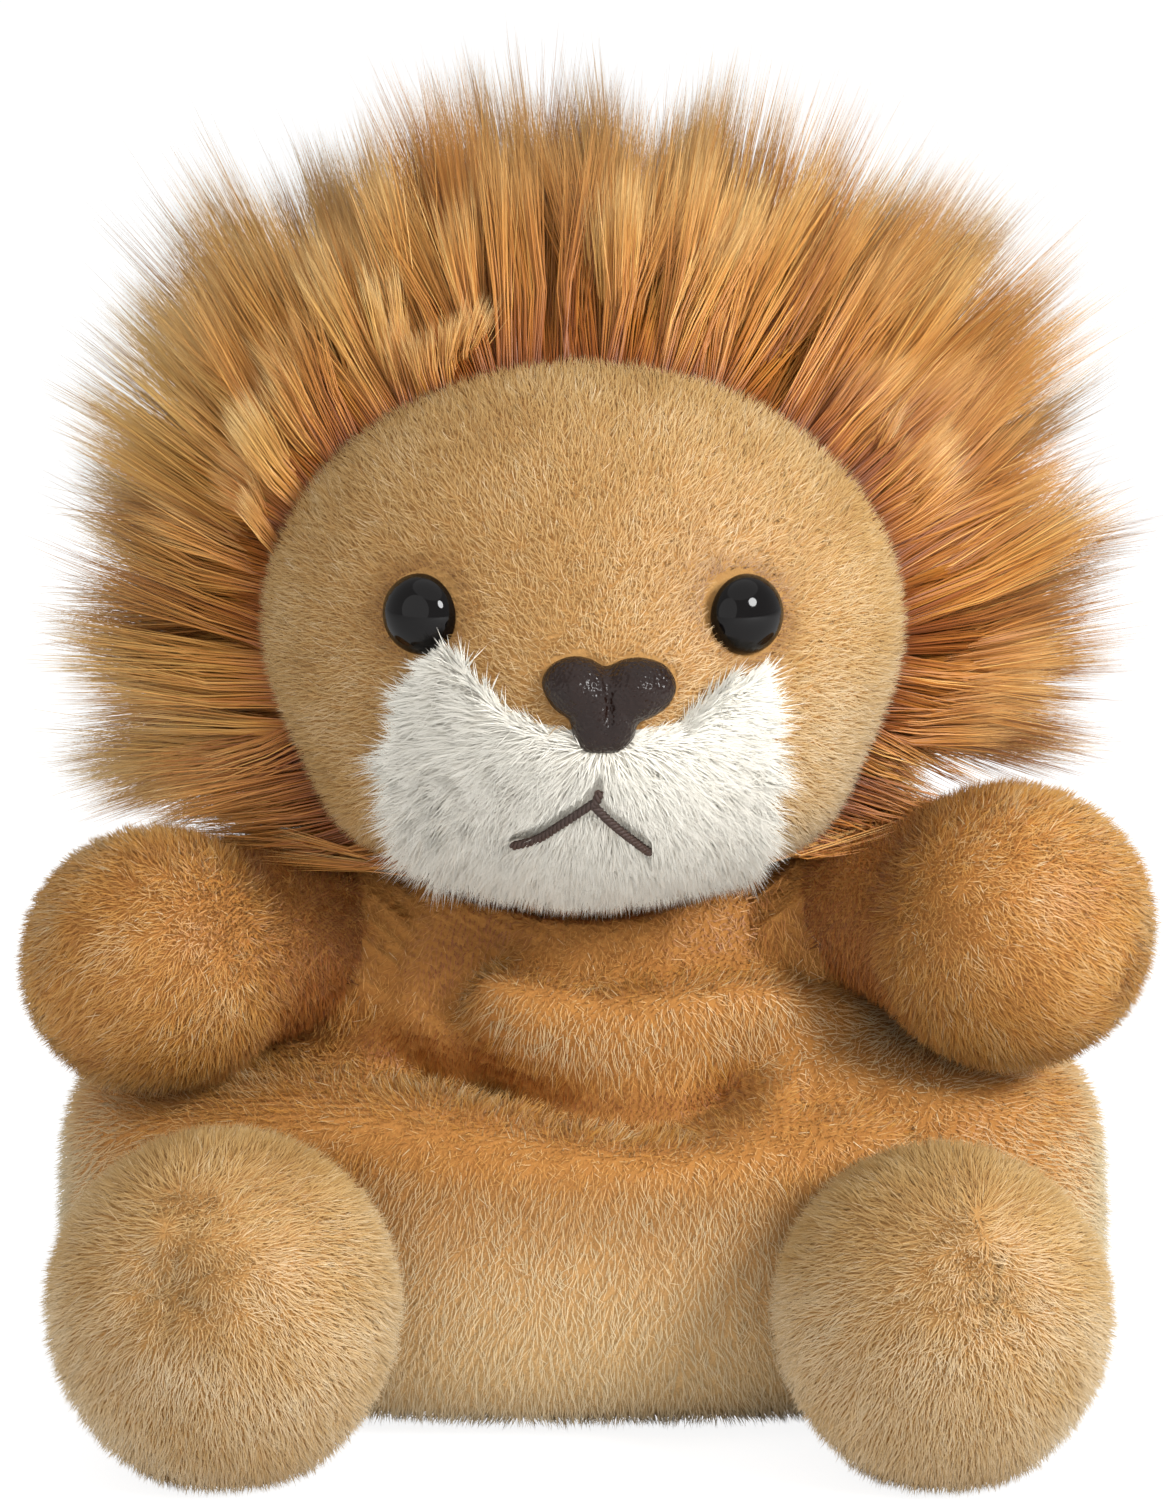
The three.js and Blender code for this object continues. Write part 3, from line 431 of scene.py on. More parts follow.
def paint(code):
    """The linear colour of an sRGB code such as c89b62."""
    shares = np.array([int(code[i:i + 2], 16) for i in (0, 2, 4)]) / 255
    linear = np.where(shares > 0.04045, ((shares + 0.055) / 1.055) ** 2.4, shares / 12.92)
    return (*linear, 1)


def fibre_finish(name, *sets, **constants):
    """Fibres that run from their root colour to their tip colour. Each set is a list of stops from
    root to tip, and each fibre's tone, 0 to 1, picks its place between the sets."""
    finish = Finish(name, **constants)
    place = finish.node("ShaderNodeUVMap", {"uv_map": "OFBake"}, {})
    tone, along = finish.part(place, 0), finish.part(place, 1)
    for step, stops in enumerate(sets):
        settings = {"stops": [(at, paint(code)) for at, code in stops]}
        after = finish.node("ShaderNodeValToRGB", settings, {0: along})
        colour = finish.mix(tone * (len(sets) - 1) - (step - 1), colour, after) if step else after
    return finish.surface(Base_Color=colour)


# The band of painted sheen: the backing turns paler near the table, like the pile there
PAINTED_SHEEN_TOP, PAINTED_SHEEN_BAND = 0.026, 0.02  # heights in metres, as the shader reads them


def backing_finish(name, code, shadow_code, painted_sheen_code=None):
    """Knitted backing seen between the fibres: two tones in a fine mottle, with a knit's bump, and
    a third, paler tone that takes over down a band near the table, a painted sheen like the pile's."""
    finish = Finish(name, Roughness=0.95)
    mottle = finish.noise(700, 3)
    knit = finish.noise(2500, 2)
    colour = finish.mix(mottle, paint(shadow_code), paint(code))
    if painted_sheen_code:
        # painted sheen, paler down a band near the table
        height = finish.part(finish.place(), 2)
        low = (PAINTED_SHEEN_TOP - height) * (1 / PAINTED_SHEEN_BAND)
        colour = finish.mix(low, colour, paint(painted_sheen_code))
    return finish.surface(Base_Color=colour, Normal=finish.bump(knit, 0.0002))


tan_backing = backing_finish("tan_backing", "b88240", "98622a")
# The body's backing is painted paler near the table, as sheen
body_backing = backing_finish("body_backing", "b88240", "98622a", "c4a06c")
tan_pile = fibre_finish(
    "tan_pile",
    [(0, "82440f"), (0.5, "a25c1e"), (1, "b87832")],
    [(0, "b4752c"), (0.5, "ca9040"), (1, "dcac60")],
    [(0, "ccac7c"), (0.5, "dcc498"), (1, "f2e4c6")],
    Roughness=0.5,
)


def down_nap(root, normal):
    """Brushed down the body, and outwards from the middle."""
    return np.stack([0.012 * root[:, 0], -0.2 + 0 * root[:, 0], -1 + 0 * root[:, 0]], -1)


def belly_painted_light(root, normal):
    """Painted light and shade in the pile's tone: painted shade deep in the creases, beside the arms
    and under the chin, golden where the pile points up, a painted highlight along the roll, and
    painted sheen, paler, down the belly and the flanks."""
    x, y, z = root.T
    rise = fold_rise(x, z) * (y < 0)
    # painted shade in the creases, and a painted highlight along the roll
    crease_shade, roll = np.clip(-rise, 0, 3), ramp(rise, 0, 4) * (z > 31)
    # painted sheen, paler, on the flanks
    flank_sheen = ramp(abs(x), 38, 46) * (z < 36)
    # painted shadow at the top of the chest, under the chin
    chest = ramp(z, 37, 43) * (y < 8)
    # paler down the belly, a painted sheen where the pile lies flat
    return 0.75 * ramp(z, 29, 9) - 0.16 * crease_shade + 0.2 * flank_sheen - 0.2 * chest + 0.26 * roll


for panel, aim, around, rings, count, seed in (
    ("belly", FRONT, 150, 70, 52000, 11), ("back", -FRONT, 120, 50, 32000, 12),
):
    def beyond_seam(points):
        """Positive past the seam that both panels end at."""
        return -aim[1] * (points[..., 1] - SEAM_SET_BACK)

    grid = dome(BODY_CENTRE, body_reach, aim, around, rings, beyond_seam)
    cloth = skin(f"{panel}_cloth", grid, body_backing, thickness=BACKING)
    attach(cloth, "body")
    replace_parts(cloth, f"{panel}_panel")
    fur = pile(f"{panel}_pile", grid, count, down_nap, PILE_LENGTH, tan_pile, seed=seed,
               shade=belly_painted_light)
    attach(fur, "body")

# Fillings of the body: a thin pouch of beads sewn shut in the sack, and loose fibre above it. Both
# follow the cover, from just inside its backing.
FILL_INSET, FILL_TILT, FILL_LOW, POUCH_TOP, FILL_GAP, ANY_HEIGHT = 2.6, 0.12, 1.2, 24, 0.4, 200
pouch_cloth = backing_finish("pouch_cloth", "e6e2d6", "cfc9b8")
loose_fibre = backing_finish("loose_fibre", "f4f1e8", "dcd6c8")


def filling(name, body, centre, reach, low, high, material, node):
    """A cover's form less an inset, with its points pressed between two heights. The least reach
    round about is taken, so that wide faces stay inside where the form turns sharply."""
    tilts = np.concatenate([np.zeros((1, 3)), FILL_TILT * np.eye(3), -FILL_TILT * np.eye(3)])

    def least(ray):
        return np.min([reach(unit(ray + tilt)) for tilt in tilts], axis=0) - FILL_INSET

    grid = dome(centre, least, UP, 60, 30)
    grid[..., 2] = np.clip(grid[..., 2], low, high)
    piece = skin(name, grid, material, closed=True)
    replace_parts(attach(piece, body), node)


filling("bead_pouch", "body", BODY_CENTRE, body_reach, FILL_LOW, POUCH_TOP, pouch_cloth,
        "pellet_pouch")
filling("chest_fibre", "body", BODY_CENTRE, body_reach, POUCH_TOP + FILL_GAP, ANY_HEIGHT, loose_fibre,
        "chest_fill")

# Neck: the tube of plush that is gathered shut under the head, with the draw thread tied round it.
NECK_CENTRE, NECK_RADIUS, NECK_PLEATS, PLEAT_DEPTH = np.array([0, 0, 49.5]), 10.4, 15, 0.45
DRAW_THREAD_RADIUS = 0.5


def neck_reach(ray):
    """A ball with pleats, cosine waves round its axis that die out at the poles."""
    pleats = np.cos(NECK_PLEATS * np.arctan2(ray[..., 1], ray[..., 0]))
    return NECK_RADIUS + PLEAT_DEPTH * (pleats - 1) * (1 - ray[..., 2] ** 4)


def carried(path, radius, around, reference=(0.2, 0.9, 0.4)):
    """A round section of changing radius carried along a path: each point of the path, plus the
    radius times a turn in the plane across it."""
    tangent = unit(np.gradient(path, axis=0))
    side = unit(np.cross(tangent, reference))
    up = np.cross(side, tangent)
    turn = np.linspace(0, 2 * np.pi, around + 1)[:, None, None]
    return path + radius[:, None] * (np.cos(turn) * side + np.sin(turn) * up)


thread_tan = fibre_finish(
    "thread_tan", [(0, "8c6638"), (1, "b08a55")], [(0, "b08a55"), (1, "d0ae7c")], Roughness=0.6)
neck_grid = dome(NECK_CENTRE, neck_reach, UP, 120, 40)
gather = skin("neck_gather_cloth", neck_grid, tan_backing, closed=True)
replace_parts(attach(gather, "neck"), "neck_gather")
loop = np.linspace(0, 2 * np.pi, 121)[:, None]
ring = NECK_CENTRE + (NECK_RADIUS - 0.2) * np.concatenate([np.cos(loop), np.sin(loop), 0 * loop], 1)
ring_radius = np.full(len(ring), DRAW_THREAD_RADIUS)
ring_radius[[0, -1]] = 0
ring_grid = carried(ring, ring_radius, 10, UP)
draw_thread = skin("neck_draw_thread", ring_grid, thread_tan, closed=True)
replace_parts(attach(draw_thread, "neck"), "neck_thread")

# Face: pale plush drawn over a ball of fibre, wide and low, with the muzzle swelling out of its
# lower front. The pile is brushed out from the bridge of the nose.
MUZZLE_RISE, MUZZLE_HALF_WIDTH, MUZZLE_HALF_HEIGHT, MUZZLE_HEIGHT, FACE_SHIFT = 6, 17.6, 12, 61, 1.6
JOWL_RISE, JOWL_X, JOWL_HEIGHT, JOWL_SPREAD = 2.4, 18.5, 55, 6.5
BORDER_Y = HEAD_CENTRE[1] - 1  # the face pile ends at the widest section, where the mane starts
HEM_HEIGHT, HEM_SLOPE = 60.9, 0.0507
FACE_PILE, FACE_PILE_DEPTH = 1.4, 1.2


def head_reach(ray):
    """An egg on its side, plus a bell of MUZZLE_RISE over the muzzle, stronger towards the front,
    and a bell of JOWL_RISE low on each cheek."""
    reach = crossings(ray, HEAD_CENTRE, HEAD_CENTRE, HEAD_RADII)[1]
    place = HEAD_CENTRE + ray * reach[..., None]
    x = (place[..., 0] - FACE_SHIFT) / MUZZLE_HALF_WIDTH
    z = (place[..., 2] - MUZZLE_HEIGHT) / MUZZLE_HALF_HEIGHT
    jowl = bell(np.hypot(abs(place[..., 0]) - JOWL_X, place[..., 2] - JOWL_HEIGHT), JOWL_SPREAD)
    reach = reach + JOWL_RISE * np.clip(1 - 2 * ray[..., 1], 0, 1) * jowl
    return reach + MUZZLE_RISE * np.maximum(0, -ray[..., 1]) * np.exp(-x * x - z * z)


def face_reach(ray):
    """The backing of the face lies a pile's depth inside the head's form."""
    return head_reach(ray) - FACE_PILE_DEPTH


def on_head(x, z, growth=0.0):
    """Points of the head's front at places in the front view, settled by repeated aim."""
    x, z = np.asarray(x, float), np.asarray(z, float) - HEAD_CENTRE[2]
    ray = unit(np.stack([x, np.full_like(x, -HEAD_RADII[1]), z], -1))
    for _ in range(12):
        reach = head_reach(ray)
        y = np.sqrt(np.maximum(0, 1 - (x * x + z * z) / reach ** 2))
        ray = unit(np.stack([x / reach, -y, z / reach], -1))
    return HEAD_CENTRE + ray * (head_reach(ray) + growth)[..., None]


def spline(before, start, end, after, steps):
    """Catmull-Rom spans from start to end, whose slopes follow the points before and after."""
    t = np.linspace(0, 1, steps, endpoint=False)[None, :, None]
    p0, p1, p2, p3 = (part[:, None] for part in (before, start, end, after))
    bend = 2 * p0 - 5 * p1 + 4 * p2 - p3 + t * (3 * (p1 - p2) + p3 - p0)
    return (p1 + 0.5 * t * (p2 - p0 + t * bend)).reshape(-1, start.shape[1])


def smooth_loop(points):
    """A closed curve through points of the front view."""
    points = np.array(points, float)
    before, after, far = (np.roll(points, shift, 0) for shift in (1, -1, -2))
    return spline(before, points, after, far, 12)


# Outline of the white muzzle's cloth in the front view, from the lion's left cheek round
muzzle_outline = [
    (16, 62.6), (16, 67.6), (14.8, 72.2), (12.8, 69.6), (10.4, 67.2), (6.6, 66.4), (1.8, 66),
    (-2.6, 66.5), (-6, 67.6), (-9.2, 70), (-12, 72.8), (-14.2, 70.2), (-16, 66), (-16.6, 62),
    (-16, 57.4), (-14.4, 52.4), (-9, 45), (1, 42), (10, 45), (14.4, 52), (15.8, 57.4),
]
muzzle_middle = np.array([FACE_SHIFT / 2, MUZZLE_HEIGHT - 2.4])
muzzle_curve = smooth_loop(muzzle_outline)
MUZZLE_BACK_Y = -17


def rim_at(curve, angle):
    """How far out a loop round the origin lies at an angle."""
    own = np.arctan2(curve[:, 1], curve[:, 0])
    order = np.argsort(own)
    return np.interp(angle, own[order], np.linalg.norm(curve, axis=1)[order], period=2 * np.pi)


def beyond_outline(points, curve, middle):
    """How far points lie outside an outline in the front view, along the line from its middle."""
    x, z = points[..., 0] - middle[0], points[..., 2] - middle[1]
    return np.hypot(x, z) - rim_at(curve - middle, np.arctan2(z, x))


def beyond_muzzle(points):
    """Positive outside the white cloth: past its outline, or behind its lower edge."""
    outside = beyond_outline(points, muzzle_curve, muzzle_middle)
    return np.maximum(outside, points[..., 1] - MUZZLE_BACK_Y)


# Eyes and nose: where each is seated on the face, and which way it looks
EYE_SPACING, EYE_HEIGHT, EYE_YAW, EYE_RADIUS, SEAT_DEPTH = 28.7, 75.2, np.radians(33), 3.5, 0.9
NOSE_HALF, NOSE_X, NOSE_HEIGHT, NOSE_PITCH = np.array([5.7, 4.15]), 2.2, 68.5, np.radians(8)
EYE_HOLD, NOSE_BACK_Y = 8, -20  # how far behind an eye, and how far back, they keep fibres off
FAR = 50
DRAWN_BACK = 0.45  # the share that is left of a fibre that would cover them
EYES = {}
for side, sign in (("right", -1), ("left", 1)):
    aim = np.array([sign * np.sin(EYE_YAW), -np.cos(EYE_YAW), 0])
    EYES[side] = on_head(sign * EYE_SPACING / 2, EYE_HEIGHT) - SEAT_DEPTH * aim, aim
NOSE_AIM = np.array([0, -np.cos(NOSE_PITCH), np.sin(NOSE_PITCH)])
NOSE_SEAT = on_head(NOSE_X, NOSE_HEIGHT) - SEAT_DEPTH * NOSE_AIM
nose_shares = [
    (-0.05, 0.78), (0.22, 0.92), (0.52, 0.95), (0.85, 0.78), (1, 0.38), (0.9, 0), (0.68, -0.24),
    (0.44, -0.4), (0.36, -0.7), (0.16, -0.96), (-0.1, -1), (-0.36, -0.96), (-0.52, -0.68),
    (-0.6, -0.32), (-0.84, -0.06), (-1, 0.42), (-0.86, 0.8), (-0.56, 0.98), (-0.28, 0.93),
]
nose_curve = smooth_loop(nose_shares) * NOSE_HALF


def beyond_nose(points):
    """How far points lie outside the nose's outline in the front view."""
    return beyond_outline(points, nose_curve + NOSE_SEAT[[0, 2]], NOSE_SEAT[[0, 2]])


def eye_distance(points):
    """Distance to the axis of the nearer eye, and far more for what lies well behind it."""
    distances = []
    for seat, aim in EYES.values():
        offset = points - seat
        along = np.sum(offset * aim, -1)
        across = np.linalg.norm(offset - along[..., None] * aim, axis=-1)
        distances.append(across + FAR * (along < -EYE_HOLD))
    return np.minimum(*distances)


def clear_of_features(lines):
    """Fibres whose tips would lie over an eye or the nose are drawn back towards their roots."""
    tip = lines[:, -1]
    over_eye = eye_distance(tip) < EYE_RADIUS - 0.1
    over_nose = (beyond_nose(tip) < -0.3) & (tip[:, 1] < NOSE_BACK_Y)
    share = np.where(over_eye | over_nose, DRAWN_BACK, 1)[:, None, None]
    return lines[:, :1] + (lines - lines[:, :1]) * share


pale_backing = backing_finish("pale_backing", "bc9258", "9a6c36")
pale_pile = fibre_finish(
    "pale_pile",
    [(0, "80501e"), (0.5, "9c7038"), (1, "b0884c")],
    [(0, "b08246"), (0.5, "c49c5e"), (1, "d4b27c")],
    [(0, "caa878"), (0.5, "dec49a"), (1, "f4e6ca")],
    Roughness=0.5,
)


def face_nap(root, normal):
    """Out from the bridge of the nose, with a lift on the forehead."""
    x, z = root[:, 0] - FACE_SHIFT, root[:, 2] - NOSE_HEIGHT
    return unit(np.stack([x, 0 * x, z], -1)) + (0, 0, 0.25)


def face_keep(root, normal):
    """The front of the head and its underside, but not the muzzle, the nose or the eyes."""
    front = (root[:, 1] < BORDER_Y + 1.5) | (root[:, 2] < HEM_HEIGHT)
    white = beyond_muzzle(root) < 0.5 * ripples(root, 1, 5)[0] - 0.5
    bare = white | (eye_distance(root) < EYE_RADIUS + 0.25)
    return front & ~bare & ((beyond_nose(root) > 0) | (root[:, 1] > NOSE_BACK_Y))


def face_painted_light(root, normal):
    """Painted light and shade in the pile's tone: golden on the forehead, a painted shadow round the
    eyes, painted sheen paler down the cheeks and most on the lion's left, and painted shade, greyer,
    at the rim on the lion's right.
    """
    # painted shade, greyer, towards the rim of the face
    rim = ramp(root[:, 1], -20, -8)
    # painted sheen, paler down the cheeks
    low = ramp(root[:, 2], 76, 62)
    # painted shadow round the eyes
    ring = bell(np.clip(eye_distance(root) - EYE_RADIUS, 0, 9), 1.5)
    # painted light on the lion's left cheek, painted shade at the rim on its right
    side = np.clip(root[:, 0] / 22, -1, 1)
    return 0.16 * low + 0.14 * low * side - 0.08 * rim * (1 - side) - 0.5 * ring


face_grid = dome(HEAD_CENTRE, face_reach, FRONT, 140, 90)
face_cloth = skin("face_cloth", face_grid, pale_backing, closed=True)
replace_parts(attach(face_cloth, "head"), "face_panel")
face_fur = pile("face_pile", face_grid, 90000, face_nap, FACE_PILE, pale_pile, lift=0.72, wild=0.2,
                clump=0.2, seed=21, keep=face_keep, shade=face_painted_light, reshape=clear_of_features)
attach(face_fur, "head")
filling("head_fibre", "head", HEAD_CENTRE, face_reach, 0, ANY_HEIGHT, loose_fibre, "head_fill")

# Muzzle: a panel of longer white plush sewn into the face, brushed out and down from the nose.
# Its pile is parted where the mouth is stitched.
MUZZLE_PILE, MUZZLE_LIFT, MUZZLE_WALL, SEAM_WIDTH = 3.0, 1.0, 0.25, 1.5
SEAM_BAND, SEAM_LOW, MUZZLE_TUFT, EDGE_TUFT = 1.8, 64, 1.6, 1.2
MOUTH_X, MOUTH_TOP, MOUTH_HALF_WIDTH, MOUTH_DROP = 0.6, 60.6, 5.6, 4.2
THREAD_LIFT, THREAD_ROOM = 1.4, 0.38  # the threads lie on the combed pile, in a narrow parting
stitch_shares = {
    "right": [(0.08, 0.08), (-0.42, -0.42), (-0.78, -0.78), (-1.15, -0.98)],
    "left": [(0.0, 0.06), (0.3, -0.38), (0.58, -0.74), (0.88, -1.12)],
    "stub": [(0.06, 0), (0.1, 0.14), (0.14, 0.3)],
}
white_backing = backing_finish("white_backing", "e8e4da", "cfc8ba")
white_pile = fibre_finish(
    "white_pile",
    [(0, "c9c0b0"), (0.4, "e8e3d6"), (1, "f4f0e4")],
    [(0, "ddd6c8"), (0.4, "f3efe2"), (1, "fcf8ec")],
    Roughness=0.5,
)


def open_curve(points, steps):
    """A curve through points, with its ends held straight."""
    points = np.array(points, float)
    before, after = 2 * points[:1] - points[1:2], 2 * points[-1:] - points[-2:-1]
    longer = np.concatenate([before, points, after])
    curve = spline(longer[:-3], longer[1:-2], longer[2:-1], longer[3:], steps)
    return np.concatenate([curve, points[-1:]])


def mouth_route(shares, steps):
    """A stitch's way in the front view."""
    return open_curve(shares, steps) * (MOUTH_HALF_WIDTH, MOUTH_DROP) + (MOUTH_X, MOUTH_TOP)


def muzzle_reach(ray):
    """The white backing lies outside the face's, and comes down to it at its seam."""
    reach = face_reach(ray)
    inside = -beyond_muzzle(HEAD_CENTRE + ray * reach[..., None])
    return reach + MUZZLE_LIFT * np.clip(inside / SEAM_WIDTH, 0.15, 1)


def seam_share(root):
    """1 at the upper edge of the panel, and 0 from a seam's band below it."""
    return (ramp(beyond_muzzle(root), -SEAM_BAND, 0) * (root[:, 2] > SEAM_LOW))[:, None]


def muzzle_nap(root, normal):
    """Out from a place just below the nose, up over the upper seam, and down at the chin."""
    x, z = root[:, 0] - NOSE_X, root[:, 2] - NOSE_HEIGHT + 2.5
    chin = ramp(root[:, 2], 54, 49)[:, None]
    out = unit(np.stack([x, 0 * x, z], -1)) + (0, 0, -0.2)
    return out + seam_share(root) * (0, 0, 0.7) - chin * (0, 0.8, 1.5)


def side_share(root):
    """0 in the middle of the panel, and 1 along its sides."""
    return ramp(abs(root[:, 0] - NOSE_X), 8, 13)


def muzzle_lift(root, normal):
    """More upright where the cloth faces down, so that the chin is fluffy, and in uneven tufts along
    the sides."""
    tufts = 0.12 + 0.3 * ripples(root, MUZZLE_TUFT, 36)[0]
    return 0.36 + 0.4 * np.clip(-normal[:, 2] - 0.2, 0, 1) + tufts * side_share(root)


def muzzle_keep(root, normal):
    """All of the panel but what the nose covers, with an uneven edge."""
    return (beyond_nose(root) > -0.4) & (beyond_muzzle(root) < 0.3 * ripples(root, 1, 6)[0] - 0.3)


muzzle_pole = unit(on_head(FACE_SHIFT / 2, MUZZLE_HEIGHT - 2.4) - HEAD_CENTRE)
muzzle_grid = dome(HEAD_CENTRE, muzzle_reach, muzzle_pole, 160, 40, beyond_muzzle)
muzzle_cloth = skin("muzzle_cloth", muzzle_grid, white_backing, thickness=MUZZLE_WALL)
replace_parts(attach(muzzle_cloth, "head"), "muzzle_panel")


def clear_of_mouth(lines):
    """Fibres end short of the mouth's threads, are cut short at the upper seam and unevenly at the
    sides, and keep clear of the eyes and the nose."""
    root = lines[:, 0]
    uneven = side_share(root) * ripples(root, EDGE_TUFT, 37)[0]
    share = 1 - 0.5 * seam_share(root)[:, 0] + 0.35 * uneven
    for step in np.linspace(0.1, 1, 7)[::-1]:
        place = root + step * (lines[:, -1] - root)
        gap = np.min(np.linalg.norm(place[:, None, ::2] - mouth_places, axis=-1), axis=1)
        share = np.where(gap < THREAD_ROOM, np.maximum(step - 0.15, 0.2), share)
    return clear_of_features(lines[:, :1] + (lines - lines[:, :1]) * share[:, None, None])


mouth_places = np.concatenate([mouth_route(shares, 4) for shares in stitch_shares.values()])
muzzle_fur = pile("muzzle_pile", muzzle_grid, 36000, muzzle_nap, MUZZLE_PILE, white_pile, width=0.085,
                  lift=muzzle_lift, wild=0.18, clump=0.35, seed=31, keep=muzzle_keep,
                  reshape=clear_of_mouth)
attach(muzzle_fur, "head")

# Eyes: polished black plastic domes on a shank, which a washer holds inside the head.
EYE_DOME, SHANK_RADIUS, SHANK_LENGTH = 2.7, 1.3, 7
eye_gloss = Finish("eye_gloss", Base_Color=paint("080606"), Specular_IOR_Level=0.22)
eye_gloss.surface(Roughness=eye_gloss.noise(300, 3) * 0.05 + 0.03)
washer_plastic = Finish("washer_plastic", Roughness=0.5)
washer_plastic.surface(
    Base_Color=washer_plastic.mix(washer_plastic.noise(500), paint("d8d5cb"), paint("ebe9e2")),
    Normal=washer_plastic.bump(washer_plastic.noise(1500), 0.0001),
)


def turned(profile, seat, aim, around):
    """A profile of radius and height turned about an axis that looks along the aim."""
    side = unit(np.cross(UP, aim))
    up = np.cross(aim, side)
    turn = np.linspace(0, 2 * np.pi, around + 1)[:, None]
    radius, height = np.array(profile, float).T
    sideways = np.cos(turn)[..., None] * side + np.sin(turn)[..., None] * up
    return seat + radius[None, :, None] * sideways + height[None, :, None] * aim


dome_turn = np.linspace(0, np.pi / 2, 14)
eye_profile = [(EYE_RADIUS * np.sin(a), EYE_DOME * np.cos(a)) for a in dome_turn]
shank_end = [(SHANK_RADIUS, -SHANK_LENGTH), (0, -SHANK_LENGTH)]
eye_profile += [(EYE_RADIUS, -0.2), (EYE_RADIUS - 0.3, -0.5), (SHANK_RADIUS, -0.55), *shank_end]
for side, (seat, aim) in EYES.items():
    eye = skin(f"eye_dome_{side}", turned(eye_profile, seat, aim, 48), eye_gloss.material, closed=True)
    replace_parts(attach(eye, "head"), f"eye_{side}")
for node in ("eye_washer_right", "eye_washer_left", "nose_washer"):
    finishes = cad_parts[node].data.materials
    finishes.clear()
    finishes.append(washer_plastic.material)

# Nose: dark brown moulded plastic with a pebbled skin, two lobes over a narrow foot and a groove
# down the middle, on a shank of its own.
NOSE_DEPTH, NOSE_LOBE, NOSE_GROOVE, NOSE_NOTCH = 2.6, 0.8, 0.55, 0.7
nose_finish = Finish("nose_plastic", Specular_IOR_Level=0.3)
pebbles = nose_finish.node(
    "ShaderNodeTexVoronoi", {"feature": "SMOOTH_F1"},
    {"Vector": nose_finish.place(), "Scale": 2600, "Smoothness": 0.6},
)
nose_finish.surface(
    Base_Color=nose_finish.mix(nose_finish.noise(400, 3), paint("150a07"), paint("24130d")),
    Roughness=nose_finish.noise(900, 2) * 0.12 + 0.2,
    Normal=nose_finish.bump(pebbles, 0.00014),
)


def nose_grid(around, rings):
    """The outline drawn in to its middle along a quarter turn: the share across is sin(a) and the
    height cos(a) to a power, with two lobes added, a groove taken out and a flat back behind."""
    turn = np.linspace(0, 2 * np.pi, around + 1)
    edge = rim_at(nose_curve, turn)[:, None]
    quarter = np.linspace(0, np.pi / 2, rings)
    across = np.append(np.sin(quarter), [1, 0.9, 0.4, 0])
    height = np.append(NOSE_DEPTH * np.cos(quarter) ** 0.75, [-0.3, -0.6, -0.6, -0.6])
    x = edge * across * np.cos(turn)[:, None]
    z = edge * across * np.sin(turn)[:, None]
    lobes = NOSE_LOBE * bell(abs(x) - 2.9, 1.9) * bell(z - 1.5, 1.6)
    groove = NOSE_GROOVE * bell(x, 0.45) * bell(z + 0.3, 1.8) * ramp(z, 2.7, -0.3)
    notch = NOSE_NOTCH * bell(x, 0.9) * bell(z - 3.2, 1.2)
    front = np.append(np.cos(quarter) ** 0.5, [0, 0, 0, 0])
    rise = height + front * (lobes - groove - notch)
    side, up = np.array([1, 0, 0]), np.cross(NOSE_AIM, (1, 0, 0))
    return NOSE_SEAT + x[..., None] * side + z[..., None] * up + rise[..., None] * NOSE_AIM


nose = skin("nose_moulding", nose_grid(100, 24), nose_finish.material, closed=True)
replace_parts(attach(nose, "head"), "nose")
shank_grid = turned([(0, 0), (SHANK_RADIUS, 0), *shank_end], NOSE_SEAT, NOSE_AIM, 24)
nose_shank = skin("nose_shank", shank_grid, nose_finish.material, closed=True)
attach(nose_shank, "head")

# Mouth: two long stitches and a short stub of dark brown embroidery thread, three plies twisted
# together, in the parting of the white pile.
PLY_RADIUS, PLY_SPREAD, PLY_PITCH = 0.21, 0.21, 1.4
thread_brown = fibre_finish(
    "thread_brown", [(0, "1e120d"), (1, "281811")], [(0, "33211a"), (1, "402a20")], Roughness=0.6)
for stitch, shares in stitch_shares.items():
    flat = mouth_route(shares, 16)
    line = on_head(flat[:, 0], flat[:, 1], THREAD_LIFT)
    length = np.append(0, np.cumsum(np.linalg.norm(np.diff(line, axis=0), axis=1)))
    side = unit(np.cross(np.gradient(line, axis=0), FRONT))
    out = unit(np.cross(side, np.gradient(line, axis=0)))
    ends = np.clip(np.minimum(length, length[-1] - length) / 0.3, 0, 1) ** 0.5
    for ply in range(3):
        twist = 2 * np.pi * (length / PLY_PITCH + ply / 3)[:, None]
        route = line + PLY_SPREAD * (np.cos(twist) * side + np.sin(twist) * out)
        strand = carried(route, PLY_RADIUS * ends, 8)
        piece = skin(f"mouth_{stitch}_ply_{ply + 1}", strand, thread_brown, closed=True)
        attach(piece, "head")
    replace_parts(piece, f"mouth_stitch_{stitch}")

# Mane: a hood of long-pile fur over the back of the head, sewn to the face at its widest section.
# The fibres stand out in locks, rust brown at the root and pale gold at the tip.
HOOD_LIFT = 0.4
MANE_CENTRE, MANE_RADII, MANE_POWER = np.array([0.5, 5, 76]), np.array([52, 25, 45.5]), 2.3
FRONT_LEAN, BACK_LEAN = np.radians(-32), np.radians(6)  # how far the front rows lean
MANE_LOW, HEM_SPREAD = 52, 4  # the lowest tips, and how far above that some of them end
TURN_RIPPLE, LEAN_RIPPLE, TONE_RIPPLE = 26, 14, 16  # how wide the ripples among the locks are
STRANDS_PER_LOCK, FIBRE_WIDTH, FIBRE_CURL, MANE_SOFTNESS = 13, 0.08, 0.2, 0.5
